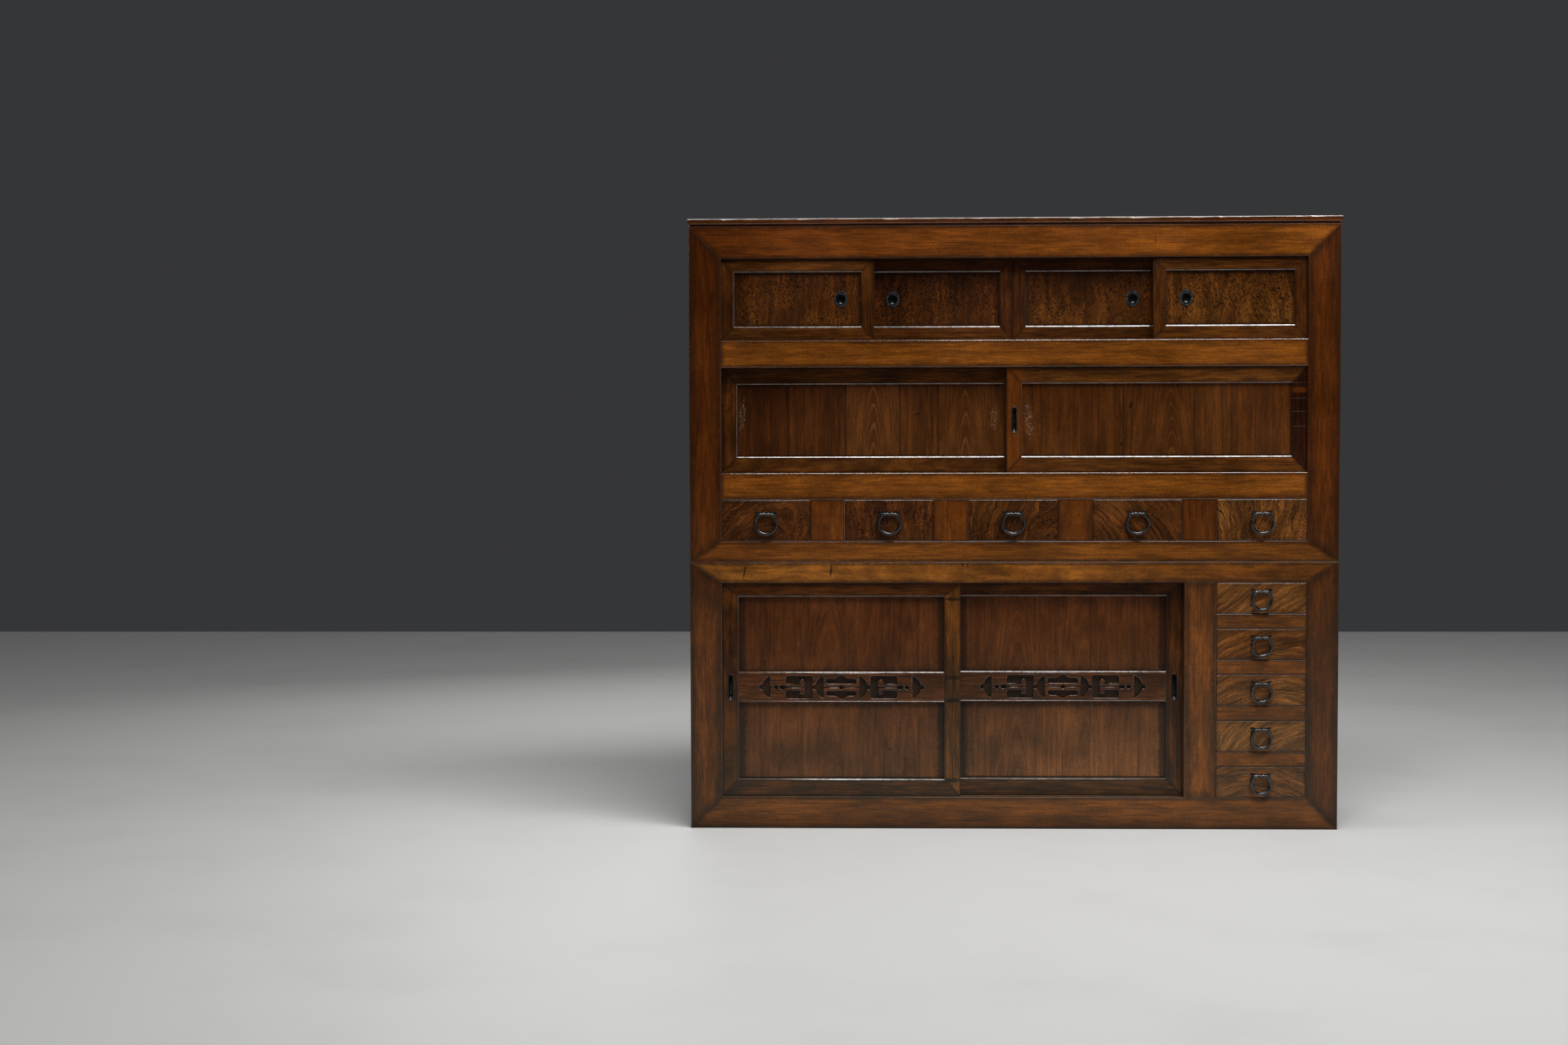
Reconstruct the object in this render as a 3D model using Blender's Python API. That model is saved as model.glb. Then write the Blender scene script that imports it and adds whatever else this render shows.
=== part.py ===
"""Kitchen tansu: a two-section Japanese kitchen cabinet with sliding doors, drawers and iron ring pulls.

Metres, +Z up, front towards -Y. The origin lies on the floor at the middle of the overall box.
"""
import math

import bmesh
import bpy

# Clearances
TOUCH_GAP = 0.0003            # between pieces that touch or are glued
DOOR_SIDE_GAP = 0.0005        # door edge to stile, and half the gap where two doors meet
DOOR_SILL_GAP = 0.001
DOOR_HEAD_GAP = 0.0015
DOOR_PASS_GAP = 0.003         # between the doors of the two tracks
TRACK_SIDE_GAP = 0.0004       # tongue to groove wall
DRAWER_FRONT_GAP = 0.001
DRAWER_GUIDE_GAP = 0.0008
BORE_GAP = 0.0004             # ring bar in its lugs

# Case
CASE_WIDTH = 1.820
CASE_DEPTH = 0.4545
STILE_WIDTH = 0.090
TRACK_BACK_LIP = 0.009        # face frame behind the back track
SIDE_BOARD = 0.018
BACK_BOARD = 0.010
SHELF_BOARD = 0.018
TOP_BOARD = 0.016
TOP_OVERHANG = 0.0025
TOP_FILLET = 0.005
TOP_FILLET_INSET = 0.003

# Upper section, heights from its foot up
UPPER_SILL_RAIL = 0.059
UPPER_DRAWER_OPENING = 0.117
UPPER_LOW_RAIL = 0.075
MIDDLE_OPENING = 0.297
UPPER_HIGH_RAIL = 0.0755
TOP_OPENING = 0.229
UPPER_HEAD_RAIL = 0.091

# Lower section, heights from the floor up
LOWER_SILL_RAIL = 0.0905
LOWER_OPENING = 0.606
LOWER_HEAD_RAIL = 0.0585
LOWER_DIVIDER = 0.090
LOWER_DRAWER_RAIL = 0.043

# Drawers
DRAWER_COUNT = 5              # in the row above, and in the stack below
DRAWER_OPENING_WIDTH = 0.250
DRAWER_BACK_ROOM = 0.0295     # behind a closed drawer
DRAWER_FRONT = 0.019
DRAWER_WALL = 0.010
DRAWER_BOTTOM = 0.007
DRAWER_TOP_DROP = 0.012       # box walls end this far below the top of the front
BOX_SIDE_INSET = 0.0006
GUIDE_HEIGHT = 0.020
GUIDE_WIDTH = 0.020
DUST_BOARD = 0.012

# Sliding doors
DOOR_THICKNESS = 0.020
DOOR_SETBACK = 0.008
TONGUE_THICKNESS = 0.007
TONGUE_END_EASE = 0.001
HEAD_TONGUE = 0.008
SILL_GROOVE = 0.0035
DOOR_LIFT_GAP = 0.0005        # a door lifted this far past its sill groove comes out
MEMBER_CHAMFER = 0.0035
PANEL_SETBACK = 0.007
PANEL_BACK_LIP = 0.005
PANEL_GROOVE = 0.008
TOP_DOOR_LAP = 0.040
TOP_DOOR_STILE = 0.037
TOP_DOOR_HEAD = 0.036
TOP_DOOR_FOOT = 0.039
MIDDLE_DOOR_LAP = 0.036
MIDDLE_DOOR_STILE = 0.043
MIDDLE_DOOR_HEAD = 0.046
MIDDLE_DOOR_FOOT = 0.045
LOWER_DOOR_LAP = 0.046
LOWER_DOOR_STILE = 0.046
LOWER_DOOR_HEAD = 0.038
LOWER_DOOR_FOOT = 0.048
LOWER_PANEL_BACK_LIP = 0.0022

# Carved rail of the lower doors, and the half sizes of its pierced figure
CARVED_RAIL_HEIGHT = 0.0865
CARVED_RAIL_THICKNESS = 0.0085
CARVED_RAIL_SETBACK = 0.002
CARVED_RAIL_CENTRE = 0.3095   # above the sill
SLIT_HALF = 0.0016
EYE_RADIUS = 0.0063
EYE_TO_FAN = 0.050
FAN_HALF_HEIGHT = 0.032
FAN_BULGE = 0.024
BALL_RADIUS = 0.0065
BALL_SINK = 0.0039            # how far a ball sinks into its fan
BALL_NECK = 0.0055            # ball's centre to the hook
HOOK_LENGTH = 0.076
HOOK_HALF_HEIGHT = 0.0325
HOOK_BODY = 0.0226
HOOK_CORNER = 0.006
HOOK_TONGUE_HALF = 0.0086
LOBE_RADIUS = 0.0066
LOBE_SINK = 0.0003            # how far a lobe sinks into its tongue
BEAD_HALF_LENGTHS = (0.009, 0.006)
BEAD_HALF_HEIGHT = 0.0065
BEAD_SPACE = 0.0035
FAN_NECK = 0.009              # last bead to the outer fan
BAR_HALF_LENGTH = 0.043
BAR_LOW = 0.0098
BAR_HEIGHT = 0.0148
BAR_CREST_RISE = 0.0095
BAR_CREST_HALF = 0.0215

# Finger pulls of the doors
OVAL_BOWL_HALF_WIDTH = 0.0108
OVAL_BOWL_HALF_HEIGHT = 0.0128
OVAL_BOWL_DEPTH = 0.0075
OVAL_FLANGE_SIDE = 0.0087
OVAL_FLANGE_END = 0.0107
OVAL_FROM_STILE = 0.056
SLOT_BOWL_HALF_WIDTH = 0.0045
SLOT_BOWL_HALF_HEIGHT = 0.0335
SLOT_BOWL_DEPTH = 0.0090
SLOT_FLANGE = 0.0035
PULL_RIM = 0.0012             # how far a pull's rim stands proud
PULL_BEAD = 0.0024
PULL_WALL = 0.0012

# Ring pulls of the drawers
UPPER_RING_RADIUS = 0.030     # centre line of the round part
LOWER_RING_RADIUS = 0.0275
RING_WIRE = 0.0040            # radius of the section
RING_BAR_HALF = 0.0150        # half length of the straight bar
RING_BAR_WIRE = 0.0025
RING_AXIS_RISE = 0.018        # bar above the middle of the drawer front
RING_STANDOFF = 0.008         # bar in front of the drawer front
LUG_WIDTH = 0.005
LUG_WALL = 0.0021
LUG_RING_GAP = 0.002
PLATE_WIDTH = 0.060
PLATE_HEIGHT = 0.018
PLATE_THICKNESS = 0.0015

# Facets
ARC_STEPS = 6
CORNER_STEPS = 3
LOBE_STEPS = 9
BORE_STEPS = 12
OVAL_STEPS = 20
RING_STEPS = 18
RING_SIDES = 8

# Places worked out from the sizes above
LUG_RADIUS = RING_BAR_WIRE + BORE_GAP + LUG_WALL
LUG_OFFSET = RING_BAR_HALF - RING_WIRE - LUG_RING_GAP - LUG_WIDTH / 2
FRONT_REACH = RING_STANDOFF + max(LUG_RADIUS, RING_WIRE)
FRAME_DEPTH = DOOR_SETBACK + 2 * DOOR_THICKNESS + DOOR_PASS_GAP + TRACK_BACK_LIP
HEAD_GROOVE = HEAD_TONGUE + SILL_GROOVE + DOOR_LIFT_GAP
DRAWER_LENGTH = CASE_DEPTH - BACK_BOARD - DRAWER_BACK_ROOM
PANEL_THICKNESS = DOOR_THICKNESS - PANEL_SETBACK - PANEL_BACK_LIP
LOWER_PANEL_SETBACK = CARVED_RAIL_SETBACK + CARVED_RAIL_THICKNESS + TOUCH_GAP
LOWER_PANEL_THICKNESS = DOOR_THICKNESS - LOWER_PANEL_SETBACK - LOWER_PANEL_BACK_LIP
FRONT_Y = (FRONT_REACH - CASE_DEPTH) / 2
BACK_Y = FRONT_Y + CASE_DEPTH
BEHIND_FRAME_Y = FRONT_Y + FRAME_DEPTH + TOUCH_GAP
BEFORE_BACK_Y = BACK_Y - BACK_BOARD - TOUCH_GAP
HALF_WIDTH = CASE_WIDTH / 2
OPENING_HALF = HALF_WIDTH - STILE_WIDTH
INSIDE_HALF = HALF_WIDTH - SIDE_BOARD - TOUCH_GAP
LOWER_TOP_Z = LOWER_SILL_RAIL + LOWER_OPENING + LOWER_HEAD_RAIL
LOWER_HEAD_Z = LOWER_SILL_RAIL + LOWER_OPENING
UPPER_FOOT_Z = LOWER_TOP_Z + TOUCH_GAP
UPPER_DRAWER_Z = UPPER_FOOT_Z + UPPER_SILL_RAIL
MIDDLE_SILL_Z = UPPER_DRAWER_Z + UPPER_DRAWER_OPENING + UPPER_LOW_RAIL
TOP_SILL_Z = MIDDLE_SILL_Z + MIDDLE_OPENING + UPPER_HIGH_RAIL
UPPER_TOP_Z = TOP_SILL_Z + TOP_OPENING + UPPER_HEAD_RAIL
DRAWER_STACK_X = OPENING_HALF - DRAWER_OPENING_WIDTH
LOWER_DOORS_X = DRAWER_STACK_X - LOWER_DIVIDER
LOWER_DRAWER_OPENING = (LOWER_OPENING - (DRAWER_COUNT - 1) * LOWER_DRAWER_RAIL) / DRAWER_COUNT
UPPER_DRAWER_PITCH = (2 * OPENING_HALF - DRAWER_OPENING_WIDTH) / (DRAWER_COUNT - 1)
LOWER_DRAWER_PITCH = LOWER_DRAWER_OPENING + LOWER_DRAWER_RAIL
CUT_PAST = 0.02               # cutters run this far past what they cut

for old_object in list(bpy.data.objects):
    bpy.data.objects.remove(old_object, do_unlink=True)


# Finishes
def finish(name, colour, roughness, metallic=0.0):
    material = bpy.data.materials.new(name)
    material.use_nodes = True
    shader = material.node_tree.nodes["Principled BSDF"]
    shader.inputs["Base Color"].default_value = (*colour, 1.0)
    shader.inputs["Roughness"].default_value = roughness
    shader.inputs["Metallic"].default_value = metallic
    return material


FRAME_WOOD = finish("lacquered_frame_wood", (0.20, 0.085, 0.030), 0.38)
DOOR_WOOD = finish("door_frame_wood", (0.15, 0.060, 0.022), 0.40)
BURL_WOOD = finish("burl_wood", (0.24, 0.110, 0.040), 0.36)
CEDAR_WOOD = finish("cedar_panel_wood", (0.14, 0.050, 0.020), 0.45)
CARCASS_WOOD = finish("carcass_wood", (0.17, 0.085, 0.040), 0.60)
BLACK_IRON = finish("blackened_iron", (0.030, 0.028, 0.026), 0.45, 0.9)


# Mesh helpers
def mesh_from(points, faces):
    mesh = bpy.data.meshes.new("piece")
    mesh.from_pydata(points, [], faces)
    work = bmesh.new()
    work.from_mesh(mesh)
    bmesh.ops.recalc_face_normals(work, faces=work.faces)
    work.to_mesh(mesh)
    work.free()
    return mesh


def block(low, high):
    """A board from its lowest to its highest corner."""
    (x0, y0, z0), (x1, y1, z1) = low, high
    return prism([(x0, z0), (x1, z0), (x1, z1), (x0, z1)], y0, y1)


def prism(outline, y0, y1):
    """An outline of (x, z) points pushed through from y0 to y1."""
    count = len(outline)
    points = [(x, y0, z) for x, z in outline] + [(x, y1, z) for x, z in outline]
    faces = [tuple(range(count)), tuple(range(2 * count - 1, count - 1, -1))]
    for i in range(count):
        j = (i + 1) % count
        faces.append((i, j, j + count, i + count))
    return mesh_from(points, faces)


def cross_prism(outline, x0, x1):
    """An outline of (y, z) points pushed through from x0 to x1."""
    mesh = prism(outline, x0, x1)
    for vertex in mesh.vertices:
        vertex.co.x, vertex.co.y = vertex.co.y, vertex.co.x
    mesh.flip_normals()
    return mesh


def loft(rings, closed=False):
    """Skin over rings of equally many points; an open loft gets flat ends."""
    count = len(rings[0])
    points = [point for ring in rings for point in ring]
    faces = []
    for r in range(len(rings) if closed else len(rings) - 1):
        here = r * count
        there = (r + 1) % len(rings) * count
        for i in range(count):
            j = (i + 1) % count
            faces.append((here + i, here + j, there + j, there + i))
    if not closed:
        faces.append(tuple(range(count)))
        faces.append(tuple(range(len(points) - 1, len(points) - count - 1, -1)))
    return mesh_from(points, faces)


def combine(mesh, other, operation):
    """Union or difference of two closed meshes, as a new mesh."""
    base = bpy.data.objects.new("base", mesh)
    tool = bpy.data.objects.new("tool", other)
    for item in (base, tool):
        bpy.context.collection.objects.link(item)
    boolean = base.modifiers.new("boolean", "BOOLEAN")
    boolean.operation = operation
    boolean.solver = "EXACT"
    boolean.object = tool
    graph = bpy.context.evaluated_depsgraph_get()
    result = bpy.data.meshes.new_from_object(base.evaluated_get(graph))
    for item in (base, tool):
        bpy.data.objects.remove(item, do_unlink=True)
    return result


def cut(mesh, cutter):
    return combine(mesh, cutter, "DIFFERENCE")


def fuse(mesh, other):
    return combine(mesh, other, "UNION")


def node(name, mesh, material, parent=None, place=(0, 0, 0), smooth=False):
    """Put a mesh in the scene as a named piece; place is measured from the parent."""
    piece = bpy.data.objects.new(name, mesh)
    bpy.context.collection.objects.link(piece)
    mesh.materials.clear()
    mesh.materials.append(material)
    if smooth:
        mesh.shade_smooth()
        mesh.set_sharp_from_angle(angle=math.radians(40))
    piece.parent = parent
    piece.location = place
    return piece


def carrier(name, place):
    """An empty that a sliding piece is built round."""
    empty = bpy.data.objects.new(name, None)
    bpy.context.collection.objects.link(empty)
    empty.location = place
    return empty


def arc(centre, radius, start, end, steps=ARC_STEPS):
    """Points from the start to the end angle, in degrees, both included."""
    angles = [math.radians(start + (end - start) * i / steps) for i in range(steps + 1)]
    return [(centre[0] + radius * math.cos(a), centre[1] + radius * math.sin(a)) for a in angles]


# Face frames: stiles, rails and the grooved tracks of the sliding doors
def track_depths():
    """Front and back of each track's door, from the front track to the back one, as Y."""
    front = FRONT_Y + DOOR_SETBACK
    behind = front + DOOR_THICKNESS + DOOR_PASS_GAP
    return [(front, front + DOOR_THICKNESS), (behind, behind + DOOR_THICKNESS)]


def tongue_span(door_front):
    middle = door_front + DOOR_THICKNESS / 2
    return middle - TONGUE_THICKNESS / 2, middle + TONGUE_THICKNESS / 2


def door_opening(x0, x1, sill, head):
    """Cutter for a doorway, with two grooves in the sill and two deeper ones in the head."""
    low_edge = [(FRONT_Y - CUT_PAST, sill)]
    high_edge = [(FRONT_Y - CUT_PAST, head)]
    for door_front, _ in track_depths():
        y0, y1 = tongue_span(door_front)
        y0 -= TRACK_SIDE_GAP
        y1 += TRACK_SIDE_GAP
        floor = sill - SILL_GROOVE
        roof = head + HEAD_GROOVE
        low_edge += [(y0, sill), (y0, floor), (y1, floor), (y1, sill)]
        high_edge += [(y0, head), (y0, roof), (y1, roof), (y1, head)]
    low_edge.append((FRONT_Y + FRAME_DEPTH + CUT_PAST, sill))
    high_edge.append((FRONT_Y + FRAME_DEPTH + CUT_PAST, head))
    return cross_prism(low_edge + high_edge[::-1], x0, x1)


def drawer_opening(x0, z0, height):
    low = (x0, FRONT_Y - CUT_PAST, z0)
    high = (x0 + DRAWER_OPENING_WIDTH, FRONT_Y + FRAME_DEPTH + CUT_PAST, z0 + height)
    return block(low, high)


def upper_drawer_x(i):
    return -OPENING_HALF + i * UPPER_DRAWER_PITCH


def lower_drawer_z(i):
    """Sill of a lower drawer, counted from the top."""
    return LOWER_HEAD_Z - LOWER_DRAWER_OPENING - i * LOWER_DRAWER_PITCH


def face_frame(foot, top, cutters):
    mesh = block((-HALF_WIDTH, FRONT_Y, foot), (HALF_WIDTH, FRONT_Y + FRAME_DEPTH, top))
    for cutter in cutters:
        mesh = cut(mesh, cutter)
    return mesh


upper_cutters = [
    door_opening(-OPENING_HALF, OPENING_HALF, TOP_SILL_Z, TOP_SILL_Z + TOP_OPENING),
    door_opening(-OPENING_HALF, OPENING_HALF, MIDDLE_SILL_Z, MIDDLE_SILL_Z + MIDDLE_OPENING),
]
lower_cutters = [door_opening(-OPENING_HALF, LOWER_DOORS_X, LOWER_SILL_RAIL, LOWER_HEAD_Z)]
for i in range(DRAWER_COUNT):
    upper_cutters.append(drawer_opening(upper_drawer_x(i), UPPER_DRAWER_Z, UPPER_DRAWER_OPENING))
    lower_cutters.append(drawer_opening(DRAWER_STACK_X, lower_drawer_z(i), LOWER_DRAWER_OPENING))
node("upper_face_frame", face_frame(UPPER_FOOT_Z, UPPER_TOP_Z, upper_cutters), FRAME_WOOD)
node("lower_face_frame", face_frame(0.0, LOWER_TOP_Z, lower_cutters), FRAME_WOOD)


# Case boards: sides, backs, floors and shelves behind the face frames
def side_boards(section, foot, top):
    for side, x0 in (("left", -HALF_WIDTH), ("right", HALF_WIDTH - SIDE_BOARD)):
        low = (x0, BEHIND_FRAME_Y, foot)
        high = (x0 + SIDE_BOARD, BEFORE_BACK_Y, top)
        node(f"{section}_{side}_side", block(low, high), CARCASS_WOOD)


def back_board(section, foot, top):
    low = (-HALF_WIDTH, BACK_Y - BACK_BOARD, foot)
    node(f"{section}_back", block(low, (HALF_WIDTH, BACK_Y, top)), CARCASS_WOOD)


def shelf_board(name, surface):
    low = (-INSIDE_HALF, BEHIND_FRAME_Y, surface - SHELF_BOARD)
    node(name, block(low, (INSIDE_HALF, BEFORE_BACK_Y, surface)), CARCASS_WOOD)


def upper_drawer_floor():
    """Floor board of the upper drawers, with a guide block behind each stile."""
    top = UPPER_DRAWER_Z
    crest = top + GUIDE_HEIGHT
    outline = [(-INSIDE_HALF, top - SHELF_BOARD), (INSIDE_HALF, top - SHELF_BOARD), (INSIDE_HALF, crest)]
    for i in reversed(range(DRAWER_COUNT)):
        left = upper_drawer_x(i) - DRAWER_GUIDE_GAP
        right = upper_drawer_x(i) + DRAWER_OPENING_WIDTH + DRAWER_GUIDE_GAP
        outline += [(right, crest), (right, top), (left, top), (left, crest)]
    outline.append((-INSIDE_HALF, crest))
    return prism(outline, BEHIND_FRAME_Y, BEFORE_BACK_Y)


def lower_drawer_rack():
    """Partition beside the lower drawers, with a dust board and a guide strip under each but the last."""
    right = DRAWER_STACK_X - DRAWER_GUIDE_GAP
    left = right - SIDE_BOARD
    foot = LOWER_SILL_RAIL + TOUCH_GAP
    top = LOWER_TOP_Z - SHELF_BOARD - TOUCH_GAP
    guide = OPENING_HALF + DRAWER_GUIDE_GAP
    outline = [(left, foot), (right, foot)]
    for i in reversed(range(DRAWER_COUNT - 1)):
        surface = lower_drawer_z(i)
        outline += [
            (right, surface - DUST_BOARD),
            (INSIDE_HALF, surface - DUST_BOARD),
            (INSIDE_HALF, surface),
            (guide + GUIDE_WIDTH, surface),
            (guide + GUIDE_WIDTH, surface + GUIDE_HEIGHT),
            (guide, surface + GUIDE_HEIGHT),
            (guide, surface),
            (right, surface),
        ]
    outline += [(right, top), (left, top)]
    return prism(outline, BEHIND_FRAME_Y, BEFORE_BACK_Y)


def top_board():
    """Thin overhanging top on a small fillet that sits back from the frame."""
    rings = []
    fillet_foot = UPPER_TOP_Z + TOUCH_GAP
    board_foot = fillet_foot + TOP_FILLET
    for z, out in (
        (fillet_foot, -TOP_FILLET_INSET),
        (board_foot, -TOP_FILLET_INSET),
        (board_foot, TOP_OVERHANG),
        (board_foot + TOP_BOARD, TOP_OVERHANG),
    ):
        half = HALF_WIDTH + out
        front = FRONT_Y - out
        back = BACK_Y + min(out, 0.0)
        rings.append([(-half, front, z), (half, front, z), (half, back, z), (-half, back, z)])
    return loft(rings)


side_boards("upper", UPPER_FOOT_Z, UPPER_TOP_Z)
side_boards("lower", 0.0, LOWER_TOP_Z)
back_board("upper", UPPER_FOOT_Z, UPPER_TOP_Z)
back_board("lower", 0.0, LOWER_TOP_Z)
shelf_board("upper_shelf", TOP_SILL_Z)
shelf_board("upper_dust_board", MIDDLE_SILL_Z)
shelf_board("lower_top_board", LOWER_TOP_Z)
shelf_board("lower_floor", LOWER_SILL_RAIL)
node("upper_drawer_floor", upper_drawer_floor(), CARCASS_WOOD)
node("lower_drawer_rack", lower_drawer_rack(), CARCASS_WOOD)
node("upper_top_board", top_board(), FRAME_WOOD)


# Finger pulls: an iron flange with a raised rim round a shallow bowl
def oval_outline(half_width, half_height):
    steps = [2 * math.pi * i / OVAL_STEPS for i in range(OVAL_STEPS)]
    return [(half_width * math.cos(a), half_height * math.sin(a)) for a in steps]


def slot_outline(half_width, half_height):
    straight = half_height - half_width
    upper = arc((0.0, straight), half_width, 0, 180, OVAL_STEPS // 2)
    lower = arc((0.0, -straight), half_width, 180, 360, OVAL_STEPS // 2)
    return upper + lower


def finger_pull(outline, flange, bowl, depth):
    """Turned over an oval or slot outline; the flange's back lies at y = 0 and the bowl behind it."""
    rings = []
    for width, height, y in (
        (bowl[0] + PULL_WALL, bowl[1] + PULL_WALL, depth),
        (bowl[0] + PULL_WALL, bowl[1] + PULL_WALL, -TOUCH_GAP),
        (flange[0], flange[1], -TOUCH_GAP),
        (flange[0], flange[1], -PULL_RIM / 2),
        (flange[0] - PULL_BEAD / 2, flange[1] - PULL_BEAD / 2, -PULL_RIM),
        (bowl[0], bowl[1], -PULL_RIM / 2),
        (bowl[0], bowl[1], depth - PULL_WALL),
    ):
        rings.append([(x, y, z) for x, z in outline(width, height)])
    return loft(rings)


def pull_pocket(outline, bowl, depth):
    """Cutter for the mortise that takes the bowl."""
    grow = PULL_WALL + TOUCH_GAP
    return prism(outline(bowl[0] + grow, bowl[1] + grow), -CUT_PAST, depth + TOUCH_GAP)


OVAL_PULL = (
    oval_outline,
    (OVAL_BOWL_HALF_WIDTH + OVAL_FLANGE_SIDE, OVAL_BOWL_HALF_HEIGHT + OVAL_FLANGE_END),
    (OVAL_BOWL_HALF_WIDTH, OVAL_BOWL_HALF_HEIGHT),
    OVAL_BOWL_DEPTH + PULL_WALL,
)
SLOT_PULL = (
    slot_outline,
    (SLOT_BOWL_HALF_WIDTH + SLOT_FLANGE, SLOT_BOWL_HALF_HEIGHT + SLOT_FLANGE),
    (SLOT_BOWL_HALF_WIDTH, SLOT_BOWL_HALF_HEIGHT),
    SLOT_BOWL_DEPTH + PULL_WALL,
)


def moved(mesh, x, y, z):
    for vertex in mesh.vertices:
        vertex.co.x += x
        vertex.co.y += y
        vertex.co.z += z
    return mesh


# Sliding doors: a grooved frame with tongues above and below, and a loose panel
def door_frame(half, foot, head, members, panel_front, panel_thickness):
    """Door frame about its own centre, with its front face at y = 0.

    foot and head are the sill's and head's heights from the centre, members the widths of stile, head and foot.
    """
    stile, head_member, foot_member = members
    z0 = foot + DOOR_SILL_GAP
    z1 = head - DOOR_HEAD_GAP
    outer = (half, z0, z1)
    tongue = (half - TONGUE_END_EASE, foot - SILL_GROOVE + TOUCH_GAP, head + HEAD_TONGUE)
    window = (half - stile, z0 + foot_member, z1 - head_member)
    groove = (window[0] + PANEL_GROOVE, window[1] - PANEL_GROOVE, window[2] + PANEL_GROOVE)
    eased = (window[0] + MEMBER_CHAMFER, window[1] - MEMBER_CHAMFER, window[2] + MEMBER_CHAMFER)
    tongue_front, tongue_back = tongue_span(0.0)
    panel_back = panel_front + panel_thickness
    rings = []
    for (x, low, high), y in (
        (outer, 0.0),
        (outer, tongue_front),
        (tongue, tongue_front),
        (tongue, tongue_back),
        (outer, tongue_back),
        (outer, DOOR_THICKNESS),
        (window, DOOR_THICKNESS),
        (window, panel_back + TOUCH_GAP),
        (groove, panel_back + TOUCH_GAP),
        (groove, panel_front - TOUCH_GAP),
        (window, panel_front - TOUCH_GAP),
        (window, MEMBER_CHAMFER),
        (eased, 0.0),
    ):
        rings.append([(-x, y, low), (x, y, low), (x, y, high), (-x, y, high)])
    panel = tuple(edge - math.copysign(TOUCH_GAP, edge) for edge in groove)
    panel_low = (-panel[0], panel_front, panel[1])
    panel_high = (panel[0], panel_back, panel[2])
    return loft(rings, closed=True), block(panel_low, panel_high), window


def sliding_door(name, track, left, width, sill, height, members, panel_front, panel_thickness):
    """Build one door; gives its frame and panel meshes, its window and its carrier."""
    door_front = track_depths()[track][0]
    half = width / 2
    body = carrier(name, (left + half, door_front, sill + height / 2))
    made = door_frame(half, -height / 2, height / 2, members, panel_front, panel_thickness)
    return (*made, body)


def door_width(opening, lap):
    """Two doors share an opening and lap by one stile where they meet."""
    return (opening + lap) / 2 - DOOR_SIDE_GAP


# Four small doors at the top: the outer two run in front, the inner two behind
top_width = door_width(OPENING_HALF, TOP_DOOR_LAP)
top_members = (TOP_DOOR_STILE, TOP_DOOR_HEAD, TOP_DOOR_FOOT)
top_doors = (
    (0, -OPENING_HALF + DOOR_SIDE_GAP, 1),
    (1, -DOOR_SIDE_GAP - top_width, -1),
    (1, DOOR_SIDE_GAP, 1),
    (0, OPENING_HALF - DOOR_SIDE_GAP - top_width, -1),
)
for number, (track, left, pull_side) in enumerate(top_doors, start=1):
    name = f"top_door_{number}"
    frame, panel, window, body = sliding_door(
        name, track, left, top_width, TOP_SILL_Z, TOP_OPENING, top_members, PANEL_SETBACK, PANEL_THICKNESS
    )
    pull_x = pull_side * (window[0] - OVAL_FROM_STILE)
    pull_z = (window[1] + window[2]) / 2
    pocket = pull_pocket(OVAL_PULL[0], OVAL_PULL[2], OVAL_PULL[3] + CUT_PAST)
    panel = cut(panel, moved(pocket, pull_x, PANEL_SETBACK, pull_z))
    pull = moved(finger_pull(*OVAL_PULL), pull_x, PANEL_SETBACK, pull_z)
    node(f"{name}_frame", frame, DOOR_WOOD, body)
    node(f"{name}_panel", panel, BURL_WOOD, body)
    node(f"{name}_pull", pull, BLACK_IRON, body, smooth=True)

# Two wide doors in the middle: the left one runs behind, the right one in front with a slot pull
middle_width = door_width(2 * OPENING_HALF, MIDDLE_DOOR_LAP)
middle_members = (MIDDLE_DOOR_STILE, MIDDLE_DOOR_HEAD, MIDDLE_DOOR_FOOT)
middle_doors = (
    ("middle_door_left", 1, -OPENING_HALF + DOOR_SIDE_GAP, 0),
    ("middle_door_right", 0, OPENING_HALF - DOOR_SIDE_GAP - middle_width, -1),
)
for name, track, left, pull_side in middle_doors:
    frame, panel, window, body = sliding_door(
        name, track, left, middle_width, MIDDLE_SILL_Z, MIDDLE_OPENING, middle_members,
        PANEL_SETBACK, PANEL_THICKNESS,
    )
    if pull_side:
        pull_x = pull_side * (window[0] + MIDDLE_DOOR_STILE / 2)
        pocket = pull_pocket(SLOT_PULL[0], SLOT_PULL[2], SLOT_PULL[3])
        frame = cut(frame, moved(pocket, pull_x, 0.0, 0.0))
        pull = moved(finger_pull(*SLOT_PULL), pull_x, 0.0, 0.0)
        node(f"{name}_pull", pull, BLACK_IRON, body, smooth=True)
    node(f"{name}_frame", frame, DOOR_WOOD, body)
    node(f"{name}_panel", panel, CEDAR_WOOD, body)


# Carved rail of the lower doors: one pierced figure, the same to both sides and above and below its middle
def crossing(circle_a, circle_b):
    """Upper crossing point of two circles whose centres lie on the figure's middle line."""
    (a, radius_a), (b, radius_b) = circle_a, circle_b
    apart = b - a
    along = (radius_a ** 2 - radius_b ** 2 + apart ** 2) / (2 * apart)
    return a + along, math.sqrt(radius_a ** 2 - along ** 2)


def angle_at(point, centre):
    return math.degrees(math.atan2(point[1] - centre[1], point[0] - centre[0]))


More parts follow.
